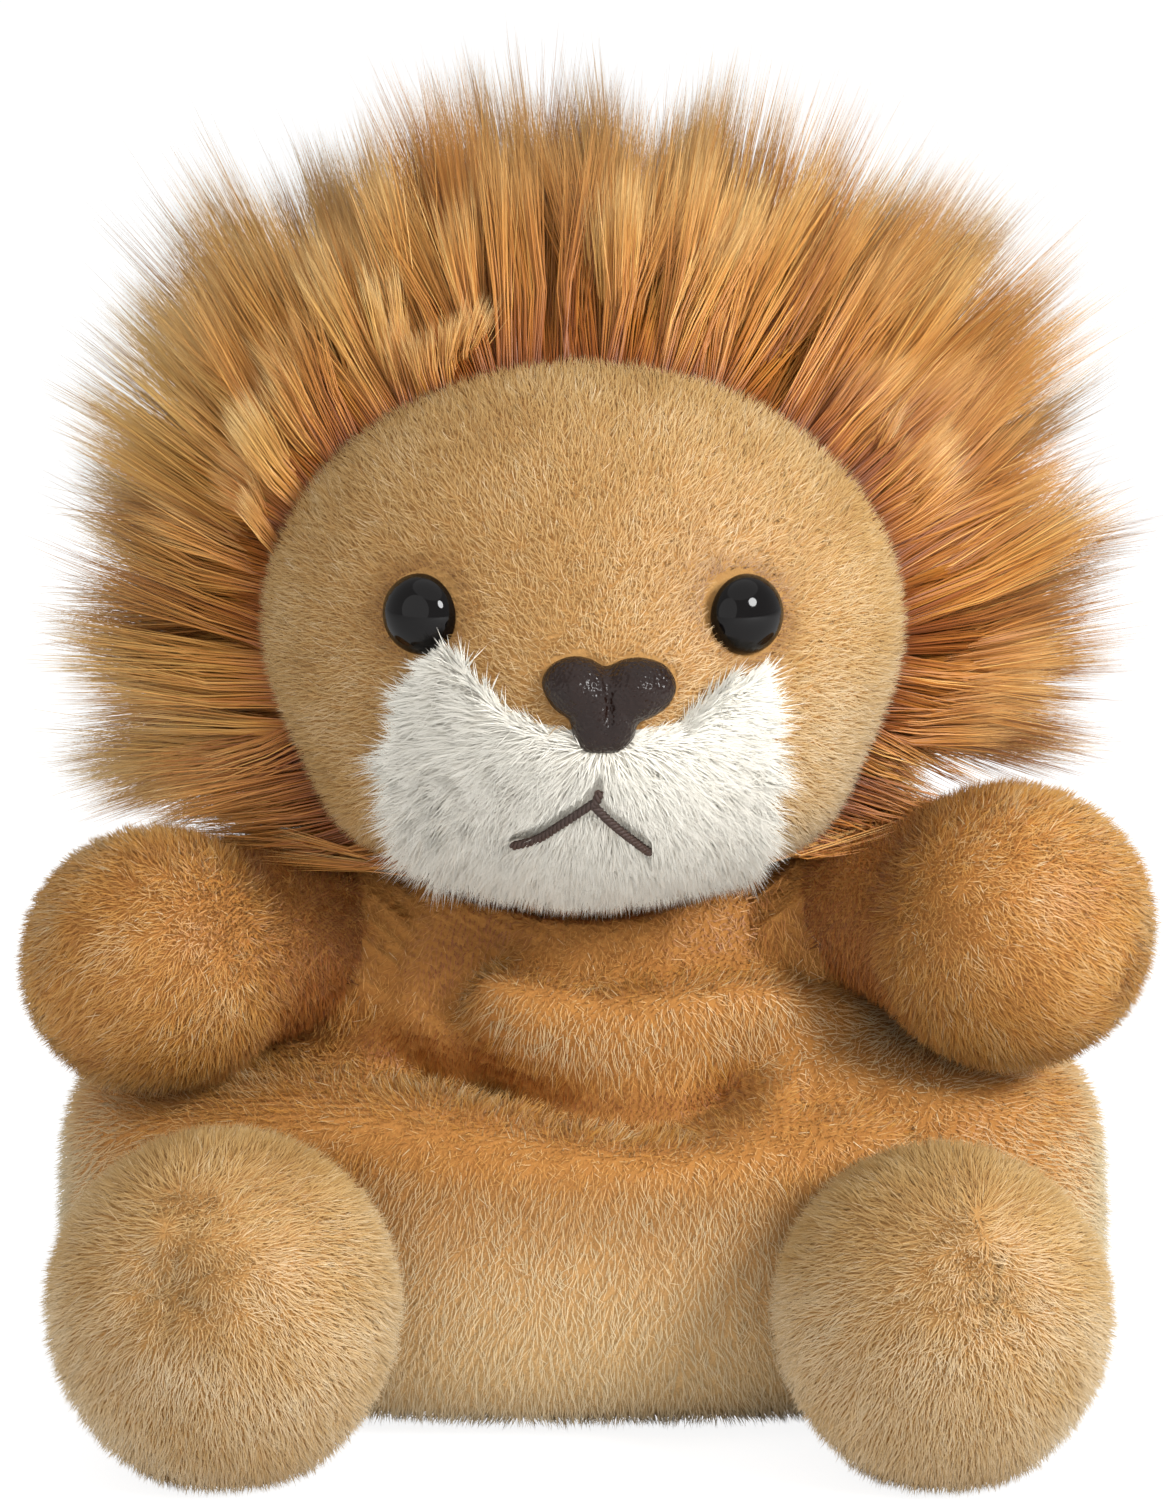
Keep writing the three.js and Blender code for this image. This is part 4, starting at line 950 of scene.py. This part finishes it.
# Shares of a lock's length by which its strands and fibres stray at the tip, sway and are cut short
STRAND_STRAY, FIBRE_STRAY, LOCK_SWAY, STRAND_SWAY, CUT = 0.035, 0.03, 0.035, 0.02, 0.14
ODD_SHARE, ODD_STRAY, ODD_TONE = 0.05, 2.5, 0.45  # few fibres stray further, and few are paler
hood_backing = backing_finish("hood_backing", "8a5222", "5e3413")
mane_finish = fibre_finish(
    "mane_fur",
    [(0, "6a330e"), (0.3, "884814"), (0.75, "a46626"), (1, "b88242")],
    [(0, "864617"), (0.3, "b06d26"), (0.75, "c88a40"), (1, "d8ab68")],
    [(0, "a06228"), (0.3, "cc9242"), (0.75, "e0b264"), (1, "ecd198")],
    Roughness=0.45,
)


def hood_reach(ray):
    """The hood's backing lies just outside the face's."""
    return face_reach(ray) + HOOD_LIFT


def beyond_hood(points):
    """Positive in front of the hood's border or below its hem."""
    hem = HEM_HEIGHT + HEM_SLOPE * points[..., 0]
    return np.maximum(BORDER_Y - points[..., 1], hem - points[..., 2])


def mane_locks(root, seed, shares):
    """Tips, tones and outward directions of locks. A lock runs a share of the way to the mane's
    form, a flat egg with a rounded superellipse for its front outline. Broad ripples and chance
    turn it sideways in the front view, and set its lean in the front rows as seen from the side.
    The lean grows to straight back behind the head."""
    random = np.random.default_rng(seed)
    around = np.arctan2((root[:, 2] - HEAD_CENTRE[2]) / HEAD_RADII[2], root[:, 0] / HEAD_RADII[0])
    around = around + 0.1 * ripples(root, TURN_RIPPLE, seed + 1)[0]
    around = around + 0.06 * random.normal(size=len(root))
    spoke = np.stack([np.cos(around), 0 * around, np.sin(around)], -1)
    back = np.clip((root[:, 1] - BORDER_Y) / (HEAD_CENTRE[1] + HEAD_RADII[1] - BORDER_Y), 0, 1)
    turned_back = 1 - np.arccos(back) / (np.pi / 2)
    choice = 0.5 + 0.3 * ripples(root, LEAN_RIPPLE, seed + 3)[0]
    choice = choice + 0.2 * random.normal(size=len(root))
    lean = (FRONT_LEAN + (BACK_LEAN - FRONT_LEAN) * np.clip(choice, 0, 1)) * (1 - turned_back)
    lean = lean + turned_back * np.pi / 2 + 0.1 * random.normal(size=len(root))
    ray = np.cos(lean)[:, None] * spoke - np.sin(lean)[:, None] * FRONT
    outline = np.sum(abs(ray[:, ::2] / MANE_RADII[::2]) ** MANE_POWER, axis=1) ** (1 / MANE_POWER)
    surface = MANE_CENTRE + ray / np.hypot(outline, ray[:, 1] / MANE_RADII[1])[:, None]
    hem = MANE_LOW + HEM_SLOPE * surface[:, 0] + HEM_SPREAD * random.random(len(root))
    surface[:, 2] = np.maximum(surface[:, 2], hem)
    tip = root + (surface - root) * random.uniform(*shares, (len(root), 1))
    # Painted light: locks on the lion's right, which the key lamp leaves in shade, are lighter
    left = np.clip(-root[:, 0] / 25, -1, 1)
    tone = 0.46 + 0.12 * left + 0.13 * random.normal(size=len(root))
    tone = tone + 0.13 * ripples(root, TONE_RIPPLE, seed + 2)[0]
    return tip, tone, unit((tip - MANE_CENTRE) / MANE_RADII ** 2)


def nearest(points, middles):
    """For each point, which middle is the nearest."""
    parts = np.array_split(points, 24)
    return np.concatenate([np.argmin(((part[:, None] - middles) ** 2).sum(-1), 1) for part in parts])


def mane(name, grid, count, locks, material, seed, locks_of, stations=3, spread=(1.5, 2.0),
         near=lambda points: points[:, 2] > 0):
    """Long fibres in locks, and in finer strands within a lock, with their roots where near() says.
    A fibre starts along the surface normal and curves towards its lock's tip, where its strand's
    offset from the lock's middle has grown by the lock's spread. Strands end at uneven lengths, and
    some fibres stray or are paler."""
    random = np.random.default_rng(seed)
    middle, strand = scatter(grid, locks)[0], scatter(grid, locks * STRANDS_PER_LOCK)[0]
    middle, strand = middle[near(middle)], strand[near(strand)]
    root, normal = scatter(grid, count)
    root, normal = root[near(root)], normal[near(root)]
    tip, tone, outward = locks_of(middle, seed + 1)
    lock = nearest(strand, middle)
    size = np.linalg.norm(tip - middle, axis=1)[lock][:, None]
    grown = random.uniform(*spread, (len(middle), 1))[lock]
    strand_end = tip[lock] + (strand - middle[lock]) * grown
    strand_end = strand_end + STRAND_STRAY * size * random.normal(size=strand.shape)
    strand_end = strand + (strand_end - strand) * (1.03 - CUT * random.random((len(strand), 1)))
    sway = (LOCK_SWAY * random.normal(size=middle.shape))[lock]
    sway = sway + STRAND_SWAY * random.normal(size=strand.shape)
    strand_tone = tone[lock] + 0.06 * random.normal(size=len(strand))
    facing = unit(outward[lock] + 0.08 * (strand_end - tip[lock]))
    own = nearest(root, strand)
    length = size[own]
    stray = FIBRE_STRAY * length * random.normal(size=root.shape)
    stray[random.random(len(root)) < ODD_SHARE] *= ODD_STRAY
    end = strand_end[own] + 0.95 * (root - strand[own]) + stray
    bow = root + length * (FIBRE_CURL * unit(normal + 0.8 * unit(end - root)) + sway[own])
    t = ((1.02 - CUT * random.random((len(root), 1)) ** 2) * np.linspace(0, 1, stations))[..., None]
    lines = root[:, None] * (1 - t) ** 2 + 2 * bow[:, None] * t * (1 - t) + end[:, None] * t * t
    lines[..., 2] = np.maximum(lines[..., 2], FLOOR_GAP)
    shade = strand_tone[own] + 0.15 * random.normal(size=len(root))
    shade = shade + ODD_TONE * (random.random(len(root)) < ODD_SHARE)
    facing = unit(facing[own] + 0.2 * random.normal(size=root.shape))
    return spikes(name, lines, FIBRE_WIDTH, shade, material, facing, MANE_SOFTNESS, taper=3)


hood_grid = dome(HEAD_CENTRE, hood_reach, -FRONT, 120, 50, beyond_hood)
hood_cloth = skin("hood_cloth", hood_grid, hood_backing, thickness=HOOD_LIFT)
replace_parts(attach(hood_cloth, "head"), "mane_hood")
for name, rows, count, stations, locks, seed, shares in (
    ("mane_front", slice(43, 51), 19900, 3, 160, 41, (0.66, 0.98)),
    ("mane_middle", slice(33, 46), 49000, 2, 170, 42, (0.86, 1.03)),
    ("mane_back", slice(0, 35), 42000, 2, 210, 43, (0.92, 1.05)),
):
    def hood_locks(root, lock_seed):
        """The locks of this part of the mane, by its shares of the way."""
        return mane_locks(root, lock_seed, shares)

    fur = mane(name, hood_grid[:, rows], count, locks, mane_finish, seed, hood_locks, stations=stations)
    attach(fur, "head")


COLLAR_LOW, COLLAR_TOP, COLLAR_FRONT, COLLAR_BACK = 51, 63, -11, 1


def collar_roots(points):
    """Behind the lower edges of the cheeks, under the hood's front corners."""
    y, z = points[:, 1], points[:, 2]
    return (z > COLLAR_LOW) & (z < COLLAR_TOP) & (y > COLLAR_FRONT) & (y < COLLAR_BACK)


def collar_locks(root, seed):
    """Locks that run out sideways over the arms, and droop more on the lion's left."""
    random = np.random.default_rng(seed)
    side = np.sign(root[:, 0])
    length = np.where(side < 0, random.uniform(8, 21, len(root)), random.uniform(5, 14, len(root)))
    droop = np.where(side < 0, 0.2, 0.5) * length + random.uniform(-1, 1.5, len(root))
    tip = root + np.stack([side * length, random.uniform(-3, 2, len(root)), -droop], -1)
    tip[:, 2] = np.maximum(tip[:, 2], MANE_LOW + random.uniform(-1.5, 3, len(root)))
    outward = np.stack([0.5 * side, 0 * side - 1, 0 * side + 0.5], -1)
    return tip, 0.38 + 0.18 * random.normal(size=len(root)), unit(outward)


collar = mane("mane_collar", face_grid, 60000, 1100, mane_finish, 44, collar_locks, spread=(0.9, 1.3),
              near=collar_roots)
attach(collar, "head")

# Arms: short plush tubes that swell to round paws, lightly stuffed with fibre and sewn on at the
# shoulders. They reach forward and rest on the feet.
ARM_REACH, ARM_ROOT_RADIUS, ARM_YAW, ARM_DIP = 18.6, 9.2, 38, 4
PAW_RADII = {"right": 12.4, "left": 13.2}
FOOT_RADII = {"right": 15.8, "left": 15.1}
ARM_FLOOR = 2 * FOOT_RADII["right"] - FLAT_DEPTH + 0.6
SEWN_DEPTH, PILE_SEAM = 3, 0.6  # how far a limb's cloth and its pile run inside the body


def stopped(reach, ray, start, *obstacles):
    """Reaches cut where a ray has gone into an obstacle, a function that is positive inside."""

    def inside(share):
        points = start + ray * share[..., None]
        return np.max([obstacle(points) for obstacle in obstacles], axis=0) > 0

    return np.where(inside(reach), halved(reach, inside, 16), reach)


def near_head(points):
    """Positive where points come within a pile's depth of the head."""
    offset = points - HEAD_CENTRE
    return head_reach(unit(offset)) + FACE_PILE_DEPTH - np.linalg.norm(offset, axis=-1)


def limb(side, body, name, grid, finishes, count, nap, seed, shade):
    """A limb's closed cover, in place of its cover's node, and its pile outside the body."""
    backing, fibre = finishes
    cloth = skin(f"{name}_cloth_{side}", grid, backing, closed=True)
    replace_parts(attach(cloth, body), f"{name}_cover_{side}")
    fur = pile(f"{name}_pile_{side}", grid, count, nap, PILE_LENGTH, fibre, seed=seed, shade=shade,
               keep=lambda root, normal: body_depth(root) < PILE_SEAM)
    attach(fur, body)


for side, seed in (("right", 51), ("left", 52)):
    yaw = np.radians(180 + ARM_YAW if side == "right" else -ARM_YAW)
    dip = np.radians(ARM_DIP)
    axis = np.array([np.cos(dip) * np.cos(yaw), np.cos(dip) * np.sin(yaw), -np.sin(dip)])
    across = unit(np.cross(UP, axis))
    turn = np.stack([axis, across, np.cross(axis, across)], -1)
    paw = SHOULDERS[side] + ARM_REACH * axis

    def arm_reach(ray):
        """The paw's ball joined with a long egg back to the shoulder, less the pile, and stopped by
        the floor of the feet, the head, and a seam's depth inside the body."""
        egg_start = np.array([ARM_REACH / 2, 0, 0])
        egg = np.array([ARM_REACH / 2 + ARM_ROOT_RADIUS, ARM_ROOT_RADIUS, ARM_ROOT_RADIUS])
        long = crossings(ray @ turn, egg_start, np.zeros(3), egg)[1]
        reach = joined([np.full_like(long, PAW_RADII[side]), long]) - PILE_DEPTH
        return stopped(
            reach, ray, paw, near_head, lambda p: body_depth(p) - SEWN_DEPTH,
            lambda p: ARM_FLOOR + PILE_DEPTH * 0.6 - p[..., 2],
        )

    def arm_nap(root, normal):
        """Brushed from the shoulder to the paw, and down."""
        return axis + (0, 0, -0.45) + 0 * root

    def arm_painted_shade(root, normal):
        """Painted shade, deep towards the shoulder and below it."""
        return -0.6 * ramp((root - paw) @ axis, 0, -14) - 0.1 * np.clip(-normal[:, 2], 0, 1)

    arm_grid = dome(paw, arm_reach, axis, 110, 60)
    limb(side, f"arm_{side}", "arm", arm_grid, (tan_backing, tan_pile), 30000, arm_nap,
         seed, arm_painted_shade)
    filling(f"arm_fibre_{side}", f"arm_{side}", paw, arm_reach, 0, ANY_HEIGHT, loose_fibre,
            f"arm_fill_{side}")

# Feet: round pouches of paler plush filled with beads, sewn to the front of the sack. The cloth is
# drawn in at a pucker high on the front, and the pile runs away from it.
FOOT_FORWARD, FOOT_HALF_DEPTH, PUCKER_DEPTH, PUCKER_SPREAD, PUCKER_PLEATS = 30, 16.2, 1.5, 4.2, 7
PUCKER_AIM = np.array([0.3, -0.86, 0.36])
for side, sign, seed in (("right", -1, 61), ("left", 1, 62)):
    radius = FOOT_RADII[side]
    foot = np.array([sign * abs(HIPS[side][0]), -FOOT_FORWARD, radius - FLAT_DEPTH])
    radii = np.array([radius, FOOT_HALF_DEPTH, radius])
    pucker = unit(PUCKER_AIM * (sign, 1, 1))
    pucker_side = unit(np.cross(pucker, UP))
    pucker_up = np.cross(pucker_side, pucker)

    def foot_reach(ray):
        """A slightly flat ball with a bell-shaped dimple at the pucker and pleats round it, less the
        pile, and stopped a seam's depth inside the body."""
        distance = np.linalg.norm(ray - pucker, axis=-1) * radii[0]
        around = np.arctan2(ray @ pucker_up, ray @ pucker_side)
        dip = PUCKER_DEPTH * bell(distance, PUCKER_SPREAD)
        pleats = 0.15 * np.cos(PUCKER_PLEATS * around) * bell(distance - 3.5, 3)
        reach = crossings(ray, foot, foot, radii)[1] - dip - pleats
        reach = reach - PILE_DEPTH * (1 - np.maximum(0, -ray[..., 2]) ** 4)
        return stopped(reach, ray, foot, lambda p: body_depth(p) - SEWN_DEPTH)

    def foot_nap(root, normal):
        """Down, and a little away from the pucker on all sides."""
        return 0.6 * unit(root - foot - pucker * radius) + (0, 0, -0.8)

    def foot_painted_shade(root, normal):
        """Painted shade, darker in the pucker and on the top."""
        # painted shade in the pucker
        dark = bell(np.linalg.norm(root - foot - pucker * radius, axis=-1), 2.4)
        # painted shade on the top, which the lamps light
        return 0.24 - 0.22 * dark - 0.35 * np.clip(normal[:, 2], 0, 1)

    foot_grid = dome(foot, foot_reach, -FRONT, 110, 70)
    limb(side, f"leg_{side}", "leg", foot_grid, (pale_backing, pale_pile), 32000,
         foot_nap, seed, foot_painted_shade)
    filling(f"leg_beads_{side}", f"leg_{side}", foot, foot_reach, FILL_LOW, ANY_HEIGHT, pouch_cloth,
            f"leg_fill_{side}")

# Tail: a thin plush cord sewn low on the back, curling up to a tuft of the mane's fur.
TAIL_ROOT, TAIL_RADIUS, TAIL_REACH, TAIL_RISE = np.array([0, 30.8, 9]), 2.3, 10, 13
TAIL_SEAT, TAIL_PILE = 5, 1.9  # how far the cord's root lies inside the back, and its pile's length
TUFT_RADII = np.array([5.4, 5.4, 8])
tail_points = TAIL_ROOT + np.array([
    (0, 0, 0), (0, TAIL_REACH, 0), (0, TAIL_REACH, TAIL_RISE / 3), (0, TAIL_REACH, TAIL_RISE),
])
t = np.linspace(0, 1, 40)[:, None]
tail_path = ((1 - t) ** 3 * tail_points[0] + 3 * t * (1 - t) ** 2 * tail_points[1]
             + 3 * t * t * (1 - t) * tail_points[2] + t ** 3 * tail_points[3])
tail_path = np.concatenate([TAIL_ROOT - [[0, TAIL_SEAT, 0], [0, TAIL_SEAT - 0.2, 0]], tail_path])
tail_radius = np.full(len(tail_path), TAIL_RADIUS - 0.9)
tail_radius[0], tail_radius[-1] = 0, 0
tail_grid = carried(tail_path, tail_radius, 24, (1, 0, 0))
tail_cloth = skin("tail_cord_cloth", tail_grid, tan_backing, closed=True)
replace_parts(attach(tail_cloth, "tail"), "tail_cord")


def tail_nap(root, normal):
    """Along the cord towards the tuft."""
    return np.array([0, 0.4, 0.8]) + 0 * root


tail_fur = pile("tail_cord_pile", tail_grid, 2600, tail_nap, TAIL_PILE, tan_pile, seed=71)
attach(tail_fur, "tail")
tuft_centre = tail_points[3] + (0, 0, TUFT_RADII[2] - TAIL_RADIUS)
core_centre, CORE_SHARE = tail_points[3] + (0, 0, 1.4), 0.45


def tuft_reach(ray):
    """A small egg over the cord's end, the core that the tuft's fur stands on."""
    return crossings(ray, core_centre, core_centre, TUFT_RADII * CORE_SHARE)[1]


def tuft_locks(root, seed):
    """Locks that point up and outwards from the cord's end, as far as the tuft's own egg."""
    random = np.random.default_rng(seed)
    aim = unit(unit(root - tail_points[3]) * 0.8 + (0, 0, 0.55) + 0.1 * random.normal(size=root.shape))
    reach = crossings(aim, tail_points[3], tuft_centre, TUFT_RADII)[1]
    tip = tail_points[3] + (reach * random.uniform(0.85, 1.05, len(root)))[:, None] * aim
    return tip, 0.5 + 0.16 * random.normal(size=len(root)), unit(tip - tuft_centre)


tuft_grid = dome(core_centre, tuft_reach, UP, 36, 24)
tuft_core = skin("tail_tuft_core", tuft_grid, hood_backing, closed=True)
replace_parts(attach(tuft_core, "tail"), "tail_tuft")
tuft_fur = mane("tail_tuft_fur", tuft_grid, 8000, 60, mane_finish, 81, tuft_locks, stations=2,
                spread=(0.9, 1.6))
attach(tuft_fur, "tail")

# Studio: a pale floor that keeps the toy's shadow, a large soft lamp to the right, a weaker one to
# the left and one above, and a camera that looks slightly down.
CAMERA_DISTANCE, CAMERA_RISE, FRAME_WIDTH, SENSOR = 560, np.radians(10), 104.95, 36
TARGET = np.array([0, 0, 58.7])
view = bpy.data.cameras.new("camera")
view.sensor_fit = "HORIZONTAL"
view.sensor_width = SENSOR
view.lens = SENSOR * CAMERA_DISTANCE / FRAME_WIDTH
view.clip_start, view.clip_end = 0.05, 20
camera = bpy.data.objects.new("camera", view)
back = np.array([0, -np.cos(CAMERA_RISE), np.sin(CAMERA_RISE)])
camera.location = (TARGET + CAMERA_DISTANCE * back) * MM
camera.rotation_euler = (np.pi / 2 - CAMERA_RISE, 0, 0)
bpy.context.scene.collection.objects.link(camera)
bpy.context.scene.camera = camera
bpy.context.scene.view_settings.view_transform = "Standard"

for name, azimuth, rise, distance, size, watts in (
    ("key", 44, 28, 0.9, 0.3, 7.8), ("fill", -35, 12, 0.9, 1.2, 3.2), ("top", 20, 75, 0.8, 1.2, 2),
):
    lamp = bpy.data.lights.new(name, "AREA")
    lamp.shape, lamp.energy, lamp.size = "DISK", watts, size
    light = bpy.data.objects.new(name, lamp)
    flat, up = np.radians(azimuth), np.radians(rise)
    aim = np.array([np.sin(flat) * np.cos(up), -np.cos(flat) * np.cos(up), np.sin(up)])
    light.location = distance * aim + TARGET * MM
    light.rotation_euler = (np.pi / 2 - up, 0, flat)
    bpy.context.scene.collection.objects.link(light)

# The camera sees the floor's own colour mixed with plain white, and the toy's shadow stays on it
FLOOR_SIZE, GLOW_SHARE, GLOW, AMBIENT = 6, 0.75, 1.2, 0.64
floor_finish = Finish("floor", Base_Color=(0.9, 0.9, 0.9, 1), Roughness=0.9)
white = floor_finish.node("ShaderNodeEmission", {}, {"Color": (1, 1, 1, 1), "Strength": GLOW})
sight = floor_finish.node("ShaderNodeLightPath", {}, {})
shader_out = Wire(floor_finish, floor_finish.shader.outputs[0])
mixed = floor_finish.node("ShaderNodeMixShader", {}, {0: sight * GLOW_SHARE, 1: shader_out, 2: white})
floor_finish.tree.links.new(mixed.socket, floor_finish.tree.nodes["Material Output"].inputs[0])
square = np.array([(0, 0), (1, 0), (1, 1), (0, 1)])
floor_points = np.pad(square - 0.5, ((0, 0), (0, 1))) * FLOOR_SIZE / MM
floor = mesh_of("floor", floor_points, [np.arange(4)[None]], floor_finish.material, square)
world = bpy.data.worlds.new("studio")
world.use_nodes = True
nodes, links = world.node_tree.nodes, world.node_tree.links
ambient, white_sky = nodes["Background"], nodes.new("ShaderNodeBackground")
for sky, strength in ((ambient, AMBIENT), (white_sky, 1)):
    sky.inputs[0].default_value = (1, 1, 1, 1)
    sky.inputs[1].default_value = strength
choice, sight = nodes.new("ShaderNodeMixShader"), nodes.new("ShaderNodeLightPath")
links.new(sight.outputs["Is Camera Ray"], choice.inputs[0])
links.new(ambient.outputs[0], choice.inputs[1])
links.new(white_sky.outputs[0], choice.inputs[2])
links.new(choice.outputs[0], nodes["World Output"].inputs[0])
bpy.context.scene.world = world
